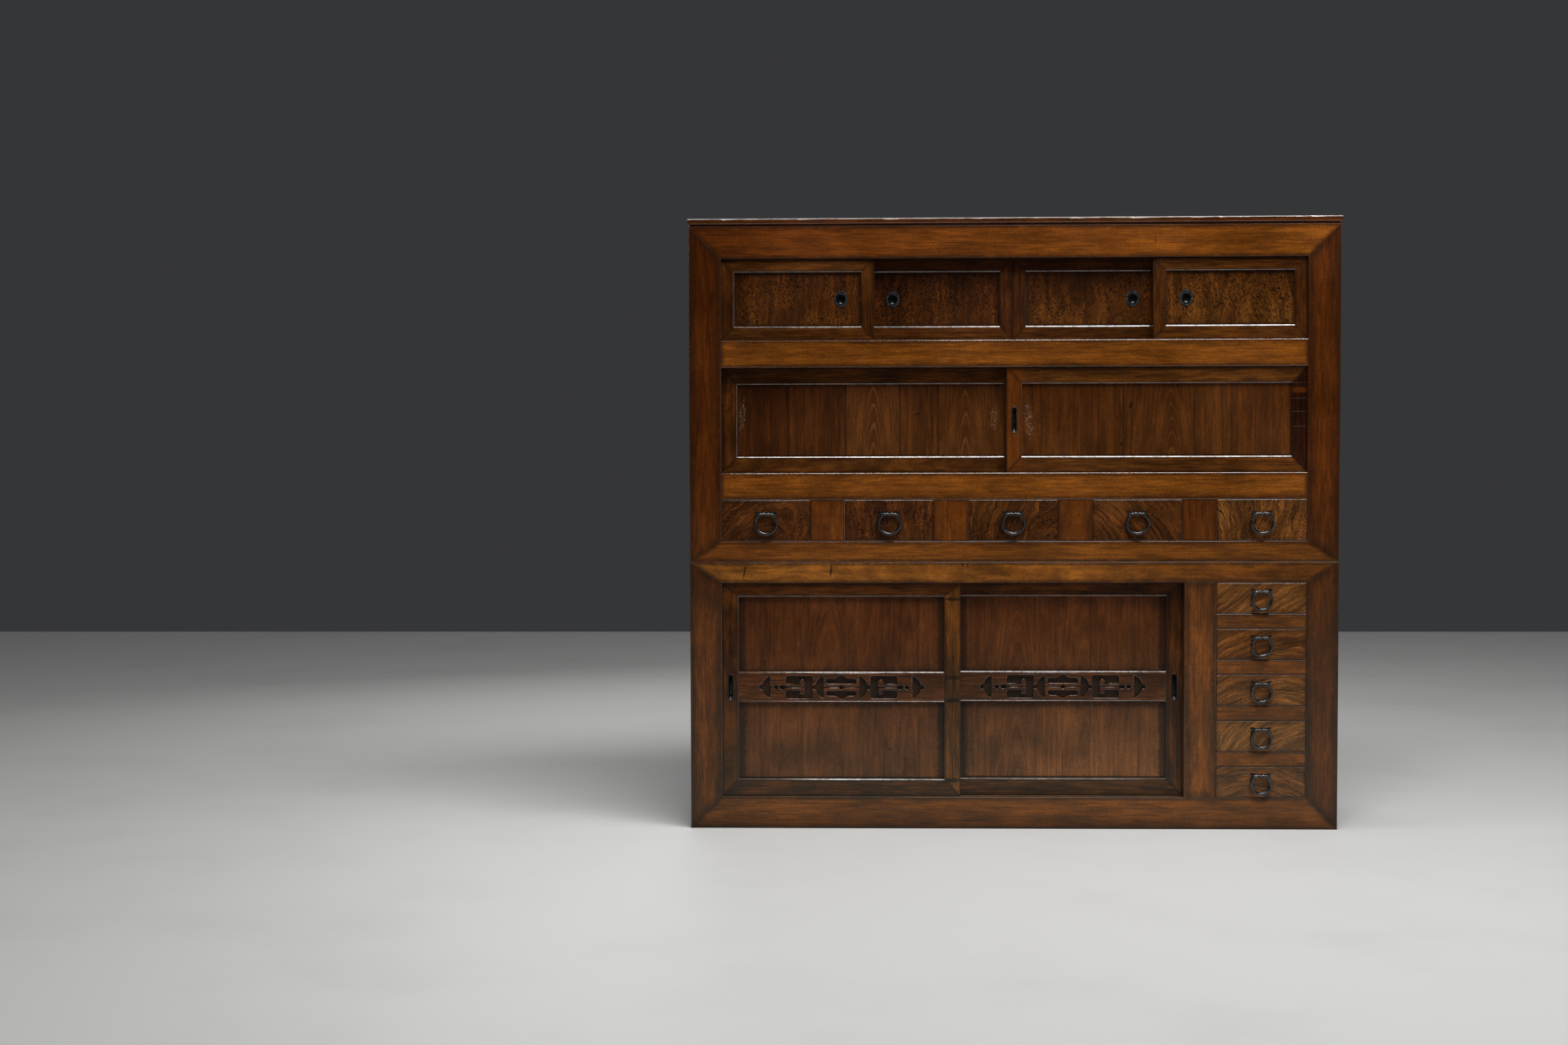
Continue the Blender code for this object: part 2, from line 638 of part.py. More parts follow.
def fan(flat_at):
    """Upper half of a fan with its flat side inwards, its ball's centre and the angle where the ball starts."""
    radius = (FAN_HALF_HEIGHT ** 2 + FAN_BULGE ** 2) / (2 * FAN_BULGE)
    centre = flat_at + FAN_BULGE - radius
    ball_at = flat_at + FAN_BULGE + BALL_RADIUS - BALL_SINK
    meet = crossing((centre, radius), (ball_at, BALL_RADIUS))
    tip = (flat_at, FAN_HALF_HEIGHT)
    edge = arc((centre, 0.0), radius, angle_at(tip, (centre, 0.0)), angle_at(meet, (centre, 0.0)))
    return [(flat_at, SLIT_HALF)] + edge, ball_at, angle_at(meet, (ball_at, 0.0))


def bead(at, half_length):
    ease = math.degrees(math.asin(SLIT_HALF / BEAD_HALF_HEIGHT))
    ring = arc((0.0, 0.0), 1.0, 180 - ease, ease)
    return [(at + half_length * x, BEAD_HALF_HEIGHT * z) for x, z in ring]


def hook(inner_at):
    """Upper half of a hook: a square-cornered arm with a lobe that curls in from the tongue below it."""
    outer_at = inner_at + HOOK_LENGTH
    tip_at = inner_at + HOOK_BODY
    high = HOOK_HALF_HEIGHT - HOOK_CORNER
    low = HOOK_TONGUE_HALF + HOOK_CORNER
    edge = arc((inner_at + HOOK_CORNER, high), HOOK_CORNER, 180, 90, CORNER_STEPS)
    edge += arc((outer_at - HOOK_CORNER, high), HOOK_CORNER, 90, 0, CORNER_STEPS)
    edge += arc((outer_at - HOOK_CORNER, low), HOOK_CORNER, 0, -90, CORNER_STEPS)
    lobe = (tip_at + LOBE_RADIUS, HOOK_TONGUE_HALF + LOBE_RADIUS - LOBE_SINK)
    dip = math.degrees(math.asin(1 - LOBE_SINK / LOBE_RADIUS))
    edge += arc(lobe, LOBE_RADIUS, -dip, 180, LOBE_STEPS)
    edge.append((tip_at, SLIT_HALF))
    return edge, outer_at


def figure_quarter():
    """The pierced figure's edge from the middle outwards, above the middle line."""
    eye_end = math.degrees(math.asin(SLIT_HALF / EYE_RADIUS))
    edge = arc((0.0, 0.0), EYE_RADIUS, 90, eye_end)
    inner_fan, ball_at, ball_start = fan(EYE_TO_FAN)
    ball_end = math.degrees(math.acos(BALL_NECK / BALL_RADIUS))
    edge += inner_fan + arc((ball_at, 0.0), BALL_RADIUS, ball_start, ball_end)[1:]
    arm, at = hook(ball_at + BALL_NECK)
    edge += arm
    for half_length in BEAD_HALF_LENGTHS:
        edge += bead(at + half_length, half_length)
        at += 2 * half_length + BEAD_SPACE
    outer_fan, ball_at, ball_start = fan(at - BEAD_SPACE + FAN_NECK)
    edge += outer_fan + arc((ball_at, 0.0), BALL_RADIUS, ball_start, 0)[1:]
    return edge


def mirrored(quarter):
    """Closed outline from one quarter that starts and ends on the figure's two middle lines."""
    right = quarter + [(x, -z) for x, z in reversed(quarter[:-1])]
    left = [(-x, z) for x, z in reversed(right[1:-1])]
    return right + left


def crest_bar():
    """Round-ended bar with an ogee crest."""
    end = BAR_HEIGHT / 2
    middle = BAR_LOW + end
    reach = BAR_HALF_LENGTH - end
    right_end = arc((reach, middle), end, -90, 90)
    left_end = arc((-reach, middle), end, 90, 270)
    crest = []
    for i in range(2 * ARC_STEPS + 1):
        x = BAR_CREST_HALF * (1 - i / ARC_STEPS)
        swell = (1 + math.cos(math.pi * x / BAR_CREST_HALF)) / 2
        crest.append((x, BAR_LOW + BAR_HEIGHT + BAR_CREST_RISE * swell))
    return right_end + crest + left_end


def carved_rail(half_length, centre):
    """Rail between a lower door's stiles, about the door's centre; centre is the rail's middle height."""
    back = CARVED_RAIL_SETBACK + CARVED_RAIL_THICKNESS
    low = (-half_length, CARVED_RAIL_SETBACK, centre - CARVED_RAIL_HEIGHT / 2)
    mesh = block(low, (half_length, back, centre + CARVED_RAIL_HEIGHT / 2))
    bar = crest_bar()
    for outline in (mirrored(figure_quarter()), bar, [(x, -z) for x, z in reversed(bar)]):
        cutter = prism(outline, CARVED_RAIL_SETBACK - CUT_PAST, back + CUT_PAST)
        mesh = cut(mesh, moved(cutter, 0.0, 0.0, centre))
    return mesh


# Two lower doors: the left one runs in front, the right one behind, each with a carved rail and a slot pull
lower_width = door_width(OPENING_HALF + LOWER_DOORS_X, LOWER_DOOR_LAP)
lower_members = (LOWER_DOOR_STILE, LOWER_DOOR_HEAD, LOWER_DOOR_FOOT)
lower_doors = (
    ("lower_door_left", 0, -OPENING_HALF + DOOR_SIDE_GAP, -1),
    ("lower_door_right", 1, LOWER_DOORS_X - DOOR_SIDE_GAP - lower_width, 1),
)
for name, track, left, pull_side in lower_doors:
    frame, panel, window, body = sliding_door(
        name, track, left, lower_width, LOWER_SILL_RAIL, LOWER_OPENING, lower_members,
        LOWER_PANEL_SETBACK, LOWER_PANEL_THICKNESS,
    )
    rail_z = CARVED_RAIL_CENTRE - LOWER_OPENING / 2
    pull_x = pull_side * (window[0] + LOWER_DOOR_STILE / 2)
    pocket = pull_pocket(SLOT_PULL[0], SLOT_PULL[2], SLOT_PULL[3])
    frame = cut(frame, moved(pocket, pull_x, 0.0, rail_z))
    pull = moved(finger_pull(*SLOT_PULL), pull_x, 0.0, rail_z)
    node(f"{name}_frame", frame, DOOR_WOOD, body)
    node(f"{name}_panel", panel, CEDAR_WOOD, body)
    node(f"{name}_carved_rail", carved_rail(window[0] - TOUCH_GAP, rail_z), CEDAR_WOOD, body)
    node(f"{name}_pull", pull, BLACK_IRON, body, smooth=True)


# Drawers: a box behind a flush front that carries the iron plate and the two lugs of the ring
def lug_outline():
    """Side view of a lug, as (y, z) from the ring's axis: round in front, rooted in the plate behind."""
    nose = arc((0.0, 0.0), LUG_RADIUS, 90, 270)
    root = RING_STANDOFF - PLATE_THICKNESS / 2
    return [(root, LUG_RADIUS)] + nose + [(root, -LUG_RADIUS)]


def drawer(opening_height):
    """A drawer about the middle of its front face, with the sill half the opening height below."""
    sill = -opening_height / 2
    half = DRAWER_OPENING_WIDTH / 2 - DRAWER_FRONT_GAP
    top = -sill - DRAWER_FRONT_GAP
    box_half = half - BOX_SIDE_INSET
    box_foot = sill + TOUCH_GAP
    box_top = top - DRAWER_TOP_DROP
    front_middle = DRAWER_FRONT / 2
    mesh = block((-box_half, front_middle, box_foot), (box_half, DRAWER_LENGTH, box_top))
    cavity_low = (-box_half + DRAWER_WALL, DRAWER_FRONT, box_foot + DRAWER_BOTTOM)
    cavity_high = (box_half - DRAWER_WALL, DRAWER_LENGTH - DRAWER_WALL, box_top + CUT_PAST)
    mesh = cut(mesh, block(cavity_low, cavity_high))
    mesh = fuse(mesh, block((-half, 0.0, sill + DRAWER_FRONT_GAP), (half, DRAWER_FRONT, top)))
    plate_low = (-PLATE_WIDTH / 2, -PLATE_THICKNESS, RING_AXIS_RISE - PLATE_HEIGHT / 2)
    plate_high = (PLATE_WIDTH / 2, front_middle, RING_AXIS_RISE + PLATE_HEIGHT / 2)
    mesh = fuse(mesh, block(plate_low, plate_high))
    bore = arc((-RING_STANDOFF, RING_AXIS_RISE), RING_BAR_WIRE + BORE_GAP, 0, 360, BORE_STEPS)[:-1]
    for side in (-1, 1):
        middle = side * LUG_OFFSET
        lug = cross_prism(lug_outline(), middle - LUG_WIDTH / 2, middle + LUG_WIDTH / 2)
        mesh = fuse(mesh, moved(lug, 0.0, -RING_STANDOFF, RING_AXIS_RISE))
        mesh = cut(mesh, cross_prism(bore, middle - LUG_WIDTH, middle + LUG_WIDTH))
    return mesh


# Ring pulls: an iron ring closed by a straight bar that turns in the lugs
def ring_pull(radius):
    """A ring about the axis of its bar, hanging straight down."""
    bar_rise = math.sqrt(radius ** 2 - RING_BAR_HALF ** 2)
    half_angle = math.degrees(math.acos(bar_rise / radius))
    sweep = arc((0.0, -bar_rise), radius, 90 + half_angle, 450 - half_angle, RING_STEPS)
    inner_end = LUG_OFFSET + (LUG_WIDTH + LUG_RING_GAP) / 2
    path = [(x, z, RING_WIRE) for x, z in sweep]
    path += [(inner_end, 0.0, RING_BAR_WIRE), (-inner_end, 0.0, RING_BAR_WIRE)]
    rings = []
    for i, (x, z, wire) in enumerate(path):
        before = path[i - 1]
        after = path[(i + 1) % len(path)]
        run_x = after[0] - before[0]
        run_z = after[1] - before[1]
        length = math.hypot(run_x, run_z)
        side_x = -run_z / length
        side_z = run_x / length
        section = []
        for k in range(RING_SIDES):
            turn = 2 * math.pi * (k + 0.5) / RING_SIDES
            out = wire * math.cos(turn)
            section.append((x + side_x * out, wire * math.sin(turn), z + side_z * out))
        rings.append(section)
    return loft(rings, closed=True)


upper_drawer = drawer(UPPER_DRAWER_OPENING)
lower_drawer = drawer(LOWER_DRAWER_OPENING)
upper_ring = ring_pull(UPPER_RING_RADIUS)
lower_ring = ring_pull(LOWER_RING_RADIUS)
for i in range(DRAWER_COUNT):
    rows = (
        ("upper", upper_drawer, upper_ring, upper_drawer_x(i), UPPER_DRAWER_Z, UPPER_DRAWER_OPENING),
        ("lower", lower_drawer, lower_ring, DRAWER_STACK_X, lower_drawer_z(i), LOWER_DRAWER_OPENING),
    )
    for row, mesh, ring, left, sill, height in rows:
        front_middle = (left + DRAWER_OPENING_WIDTH / 2, FRONT_Y, sill + height / 2)
        body = carrier(f"{row}_drawer_{i + 1}_slide", front_middle)
        node(f"{row}_drawer_{i + 1}", mesh, BURL_WOOD, body)
        bar_place = (0.0, -RING_STANDOFF, RING_AXIS_RISE)
        node(f"{row}_ring_{i + 1}", ring, BLACK_IRON, body, bar_place, smooth=True)
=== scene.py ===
import math
import random

import bmesh
import bpy
from mathutils import Matrix, Vector


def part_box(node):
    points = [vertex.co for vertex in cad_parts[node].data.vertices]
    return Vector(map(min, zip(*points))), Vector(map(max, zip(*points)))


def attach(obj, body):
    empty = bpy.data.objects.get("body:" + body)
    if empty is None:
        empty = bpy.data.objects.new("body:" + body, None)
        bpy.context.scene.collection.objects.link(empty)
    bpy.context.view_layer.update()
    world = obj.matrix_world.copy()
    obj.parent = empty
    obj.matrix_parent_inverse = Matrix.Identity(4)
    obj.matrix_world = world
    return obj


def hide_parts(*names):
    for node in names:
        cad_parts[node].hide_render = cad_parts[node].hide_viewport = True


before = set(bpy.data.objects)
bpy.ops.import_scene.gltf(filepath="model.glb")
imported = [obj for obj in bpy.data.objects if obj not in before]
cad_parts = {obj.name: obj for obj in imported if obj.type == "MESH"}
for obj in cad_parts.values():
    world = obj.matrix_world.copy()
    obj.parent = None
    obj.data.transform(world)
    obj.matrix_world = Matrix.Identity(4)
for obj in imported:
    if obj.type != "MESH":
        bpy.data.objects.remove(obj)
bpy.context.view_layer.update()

# The studio. A plain pale floor runs some way behind the cabinet, and past it the room is a dark grey.
# A long soft light hangs over the cabinet's front, a wide one lights it from the right and a weak one its back.
# The camera stands six metres off, left of the middle, and looks slightly down.
CAMERA_PLACE = Vector((-0.4514, -6.3502, 1.1277))
CAMERA_YAW = math.radians(1.80)
CAMERA_PITCH = math.radians(2.43)
CAMERA_ROLL = math.radians(-0.164)
CAMERA_LENS = 50.0
CAMERA_SENSOR = 36.0
FLOOR_LOW = (-11.0, -5.6)
FLOOR_HIGH = (11.0, 5.8)
FLOOR_DROP = 0.0004
FLOOR_PALE = (0.66, 0.66, 0.65, 1.0)
FLOOR_SCUFFED = (0.62, 0.62, 0.61, 1.0)
ROOM_GREY = (0.036, 0.037, 0.039, 1.0)
ROOM_LIGHT = (1.0, 1.0, 1.0, 1.0)
ROOM_LIGHT_STRENGTH = 0.08
LIGHTS = {                        # place, aim, size and power
    "overhead_light": ((0.1, -0.45, 2.40), (0.1, -0.45, 0.0), (2.9, 0.30), 14.0),
    "front_light": ((0.9, -2.5, 5.4), (0.1, -0.2, 0.9), (3.8, 1.5), 300.0),
    "side_light": ((3.7, -2.3, 1.1), (0.2, -0.2, 1.0), (0.7, 1.9), 14.0),
    "back_light": ((-1.6, 3.2, 2.2), (-0.2, 0.3, 1.1), (2.2, 1.4), 22.0),
}


def add(tree, kind, sockets=None, **settings):
    """Add a node; sockets maps a socket's name or number to a plain value or to another node's output."""
    made = tree.nodes.new(kind)
    for name, value in settings.items():
        setattr(made, name, value)
    for key, value in (sockets or {}).items():
        if isinstance(value, bpy.types.NodeSocket):
            tree.links.new(value, made.inputs[key])
        else:
            made.inputs[key].default_value = value
    return made


def new_material(name):
    """An empty material with its shader; gives the material, its tree and the shader."""
    material = bpy.data.materials.new(name)
    material.use_nodes = True
    return material, material.node_tree, material.node_tree.nodes["Principled BSDF"]


def noise(tree, where, scale, detail=2.0, roughness=0.5, output="Fac"):
    sockets = {"Vector": where, "Scale": scale, "Detail": detail, "Roughness": roughness}
    return add(tree, "ShaderNodeTexNoise", sockets).outputs[output]


def spread(tree, value, low, high, to_low=0.0, to_high=1.0):
    """A value's run from low to high, eased to the run from to_low to to_high and held past both ends."""
    sockets = {"Value": value, "From Min": low, "From Max": high, "To Min": to_low, "To Max": to_high}
    return add(tree, "ShaderNodeMapRange", sockets, interpolation_type="SMOOTHSTEP").outputs[0]


def mixed(tree, share, first, second, blend="MIX"):
    """Colour between two colours."""
    node = add(tree, "ShaderNodeMix", {0: share, 6: first, 7: second}, data_type="RGBA", blend_type=blend)
    return node.outputs[2]


def camera_turn():
    right = Vector((math.cos(CAMERA_YAW), math.sin(CAMERA_YAW), 0.0))
    level = Vector((-math.sin(CAMERA_YAW), math.cos(CAMERA_YAW), 0.0))
    forward = math.cos(CAMERA_PITCH) * level - math.sin(CAMERA_PITCH) * Vector((0, 0, 1))
    up = math.sin(CAMERA_PITCH) * level + math.cos(CAMERA_PITCH) * Vector((0, 0, 1))
    rolled_right = math.cos(CAMERA_ROLL) * right + math.sin(CAMERA_ROLL) * up
    rolled_up = math.cos(CAMERA_ROLL) * up - math.sin(CAMERA_ROLL) * right
    return Matrix((rolled_right, rolled_up, -forward)).transposed()


def soft_light(name, place, aim, size, power):
    data = bpy.data.lights.new(name, "AREA")
    data.shape = "RECTANGLE"
    data.size, data.size_y = size
    data.energy = power
    light = bpy.data.objects.new(name, data)
    light.location = place
    light.rotation_euler = (Vector(aim) - Vector(place)).to_track_quat("-Z", "Y").to_euler()
    light.visible_camera = False
    bpy.context.collection.objects.link(light)


camera_data = bpy.data.cameras.new("camera")
camera_data.lens = CAMERA_LENS
camera_data.sensor_width = CAMERA_SENSOR
camera_data.sensor_fit = "HORIZONTAL"
camera = bpy.data.objects.new("camera", camera_data)
camera.matrix_world = Matrix.Translation(CAMERA_PLACE) @ camera_turn().to_4x4()
bpy.context.collection.objects.link(camera)
bpy.context.scene.camera = camera
bpy.context.scene.view_settings.view_transform = "Standard"
for light_name, light_settings in LIGHTS.items():
    soft_light(light_name, *light_settings)

world = bpy.data.worlds.new("studio")
world.use_nodes = True
bpy.context.scene.world = world
room = world.node_tree
light_path = add(room, "ShaderNodeLightPath")
seen = light_path.outputs["Is Camera Ray"]
for ray in ("Is Glossy Ray", "Is Transmission Ray"):
    seen = add(room, "ShaderNodeMath", {0: seen, 1: light_path.outputs[ray]}, operation="MAXIMUM").outputs[0]
lit = add(room, "ShaderNodeBackground", {"Color": ROOM_LIGHT, "Strength": ROOM_LIGHT_STRENGTH})
shown = add(room, "ShaderNodeBackground", {"Color": ROOM_GREY, "Strength": 1.0})
either = add(room, "ShaderNodeMixShader", {0: seen, 1: lit.outputs[0], 2: shown.outputs[0]})
room.links.new(either.outputs[0], room.nodes["World Output"].inputs["Surface"])

floor_material, floor_tree, floor_shader = new_material("studio_floor")
floor_spot = add(floor_tree, "ShaderNodeTexCoord").outputs["Object"]
scuffs = spread(floor_tree, noise(floor_tree, floor_spot, 1.7, 6.0, 0.6), 0.45, 0.75)
floor_tree.links.new(mixed(floor_tree, scuffs, FLOOR_PALE, FLOOR_SCUFFED), floor_shader.inputs["Base Color"])
floor_shader.inputs["Roughness"].default_value = 0.55
floor_mesh = bpy.data.meshes.new("studio_floor")
floor_corners = [
    (FLOOR_LOW[0], FLOOR_LOW[1], -FLOOR_DROP),
    (FLOOR_HIGH[0], FLOOR_LOW[1], -FLOOR_DROP),
    (FLOOR_HIGH[0], FLOOR_HIGH[1], -FLOOR_DROP),
    (FLOOR_LOW[0], FLOOR_HIGH[1], -FLOOR_DROP),
]
floor_mesh.from_pydata(floor_corners, [], [(0, 1, 2, 3)])
floor_mesh.materials.append(floor_material)
floor = bpy.data.objects.new("studio_floor", floor_mesh)
bpy.context.collection.objects.link(floor)

# The lower face frame. Solid stiles and rails of stained and lacquered softwood, mitred at the four corners,
# with a divider between the doors and the drawers and a short rail between each two drawers.
# The sill and head rails are grooved for the two tracks of the doors.
STILE_WIDTH = 0.090
LOWER_SILL_RAIL = 0.0905
LOWER_HEAD_RAIL = 0.0585
LOWER_DIVIDER = 0.090
HAIRLINE = 0.0001                 # half the open joint between two boards
DRAWER_GAP = 0.001                # round a drawer front
FRAME_ARRIS = 0.0006
WORN_FACET = (0.0016, 0.0010)     # flat worn on a front edge, over the face and into the depth
ARRIS_STEPS = 3
TRACK_MIDDLE = 0.010              # from a door's front face to the middle of its groove
TRACK_HALF = 0.0039
SILL_GROOVE = 0.0035
HEAD_GROOVE = 0.012
# Board tones and their runs from end to end are fitted to measured brightness: partly the wood's own colour, partly
# painted light and shade from how the light falls across the front.
LOWER_TONES = ((0.84, 0.84), (1.52, 0.90), (0.73, 0.57), (0.48, 0.59))   # sill, head, left and right
DIVIDER_TONE = (0.83, 0.69)
STILE_BORDER = 0.028              # how far soiling and painted shade reach in from a stile's edges
FRAME_PALE = (0.170, 0.0515, 0.0046, 1.0)
FRAME_DARK = (0.100, 0.0265, 0.0018, 1.0)
# Brown of smoke and soiling, also laid as painted shade.
SMOKE_AND_SHADE_BROWN = (0.016, 0.0052, 0.0014, 1.0)
DENT_BLACK = (0.008, 0.0035, 0.0015, 1.0)
BARE_AND_HIGHLIGHT_GAIN = (1.9, 2.1, 2.4, 1.0)  # rubbed wood against the lacquer over it, also standing in for a painted highlight
# Grey lifted onto rubbed arrises: dust, and part of the painted highlight.
BARE_AND_HIGHLIGHT_LIFT = (0.036, 0.024, 0.013, 1.0)
# Grey added near the foot: dust, and painted reflection of the floor's light.
FOOT_DUST_AND_SHEEN = (0.004, 0.0150, 0.0135, 1.0)
ALONG_AN_AXIS = 0.99              # a normal with a part over this belongs to a square face, not to an arris
LACQUER_GLOSS = 0.16
POLISH_ROUGHNESS = 0.10
POLISH_IOR = 1.9
TONE_DEPTH = (1.0, 1.30, 1.75)     # how much faster green and blue darken as a board's tone falls
SCUFF_WHITE = (0.42, 0.34, 0.25, 1.0)
HANDLED_RED = (0.115, 0.0250, 0.0016, 1.0)
SCRATCH_GREY = (0.056, 0.0400, 0.0310, 1.0)
LATE_WOOD_END = 0.08              # where in a ring the dark late wood breaks off
CURL_REACH = 0.040                # sideways sway of curly grain
chance = random.Random(1820)


def node_group(name, inputs, outputs):
    """A shader group; an input is a vector where its value has three numbers and a colour where it has four."""
    group = bpy.data.node_groups.new(name, "ShaderNodeTree")
    kinds = {3: "NodeSocketVector", 4: "NodeSocketColor"}
    for title, value in inputs.items():
        kind = "NodeSocketFloat" if isinstance(value, float) else kinds[len(value)]
        group.interface.new_socket(title, in_out="INPUT", socket_type=kind).default_value = value
    for title, kind in outputs.items():
        group.interface.new_socket(title, in_out="OUTPUT", socket_type=f"NodeSocket{kind}")
    return group, group.nodes.new("NodeGroupInput").outputs, group.nodes.new("NodeGroupOutput").inputs


def maths(tree, operation, first, second=0.0):
    return add(tree, "ShaderNodeMath", {0: first, 1: second}, operation=operation).outputs[0]


def vectors(tree, operation, first, second):
    return add(tree, "ShaderNodeVectorMath", {0: first, 1: second}, operation=operation).outputs[0]


def swayed(tree, colour, amount):
    """A noise colour as a sway to all sides, as long as the amount."""
    centred = vectors(tree, "SUBTRACT", colour, (0.5, 0.5, 0.5))
    return add(tree, "ShaderNodeVectorMath", {0: centred, 3: amount}, operation="SCALE").outputs[0]


def growth_rings():
    """Wood cut from a trunk whose pith runs along the first axis of Grain: rings, streaks, pores and clouds."""
    group, given, out = node_group(
        "growth_rings",
        {"Grain": (0.0, 0.0, 0.0), "Ring Width": 0.003, "Line": 0.6, "Wander": 0.012, "Curl": 0.0},
        {"Ring": "Float", "Band": "Float", "Fibre": "Float", "Streak": "Float", "Pore": "Float", "Cloud": "Float"},
    )
    drawn_out = vectors(group, "MULTIPLY", given["Grain"], (0.08, 1.0, 1.0))
    wander = swayed(group, noise(group, drawn_out, 13.0, 2.0, 0.5, "Color"), given["Wander"])
    curl = swayed(group, noise(group, given["Grain"], 17.0, 2.5, 0.55, "Color"), given["Curl"])
    fine = maths(group, "MULTIPLY", given["Curl"], 0.14)
    waver = swayed(group, noise(group, given["Grain"], 75.0, 2.0, 0.5, "Color"), fine)
    where = vectors(group, "ADD", vectors(group, "ADD", given["Grain"], wander), vectors(group, "ADD", curl, waver))
    across = vectors(group, "MULTIPLY", where, (0.0, 1.0, 1.0))
    radius = add(group, "ShaderNodeVectorMath", {0: across}, operation="LENGTH").outputs["Value"]
    turns = maths(group, "DIVIDE", radius, given["Ring Width"])
    uneven = add(group, "ShaderNodeTexNoise", {"W": turns, "Scale": 0.21, "Detail": 2.0}, noise_dimensions="1D")
    turns = maths(group, "ADD", turns, maths(group, "MULTIPLY", uneven.outputs["Fac"], 3.0))
    ring = maths(group, "FRACT", turns)
    rise = spread(group, ring, maths(group, "SUBTRACT", 1.0, given["Line"]), 1.0 - LATE_WOOD_END)
    fall = spread(group, ring, 1.0 - LATE_WOOD_END, 1.0, 1.0, 0.0)
    group.links.new(maths(group, "MULTIPLY", rise, fall), out["Ring"])
    band = add(group, "ShaderNodeTexNoise", {"W": turns, "Scale": 0.37, "Detail": 1.0}, noise_dimensions="1D")
    group.links.new(band.outputs["Fac"], out["Band"])
    parts = add(group, "ShaderNodeSeparateXYZ", {0: where}).outputs
    sideways = maths(group, "ADD", parts[1], parts[2])
    streaks = (
        ("Fibre", 15.0, 430.0, 0.30, 0.70),
        ("Streak", 13.0, 150.0, 0.30, 0.70),
        ("Pore", 85.0, 800.0, 0.55, 0.70),
        ("Cloud", 6.0, 38.0, 0.28, 0.72),
    )
    for title, along, over, low, high in streaks:
        sockets = {
            0: maths(group, "MULTIPLY", parts[0], along),
            1: maths(group, "MULTIPLY", radius, over),
            2: maths(group, "MULTIPLY", sideways, along),
        }
        drawn = noise(group, add(group, "ShaderNodeCombineXYZ", sockets).outputs[0], 1.0, 3.0, 0.6)
        group.links.new(spread(group, drawn, low, high), out[title])
    return group


def burr_figure():
    """The fleck of a burr, where the fibres turn about many small buds, with calmer straight wood between."""
    group, given, out = node_group(
        "burr_figure",
        {"Grain": (0.0, 0.0, 0.0), "Flecks": 270.0, "Threads": 115.0, "Swirl": 0.035, "Share": 1.0},
        {"Fleck": "Float", "Share": "Float"},
    )
    flow = swayed(group, noise(group, given["Grain"], 17.0, 2.0, 0.5, "Color"), given["Swirl"])
    where = vectors(group, "ADD", given["Grain"], flow)
    eddy = swayed(group, noise(group, where, 80.0, 2.0, 0.5, "Color"), 0.012)
    where = vectors(group, "MULTIPLY", vectors(group, "ADD", where, eddy), (0.52, 1.0, 1.0))
    fleck = spread(group, noise(group, where, given["Flecks"], 2.0, 0.55), 0.36, 0.68)
    level = maths(group, "SUBTRACT", noise(group, where, given["Threads"], 2.0, 0.5), 0.5)
    thread = spread(group, maths(group, "ABSOLUTE", level), 0.0, 0.08, 0.70, 0.0)
    group.links.new(maths(group, "MAXIMUM", maths(group, "MULTIPLY", fleck, 0.85), thread), out["Fleck"])
    calm = spread(group, noise(group, given["Grain"], 11.0, 1.5), 0.36, 0.54)
    group.links.new(maths(group, "MULTIPLY", calm, given["Share"]), out["Share"])
    return group


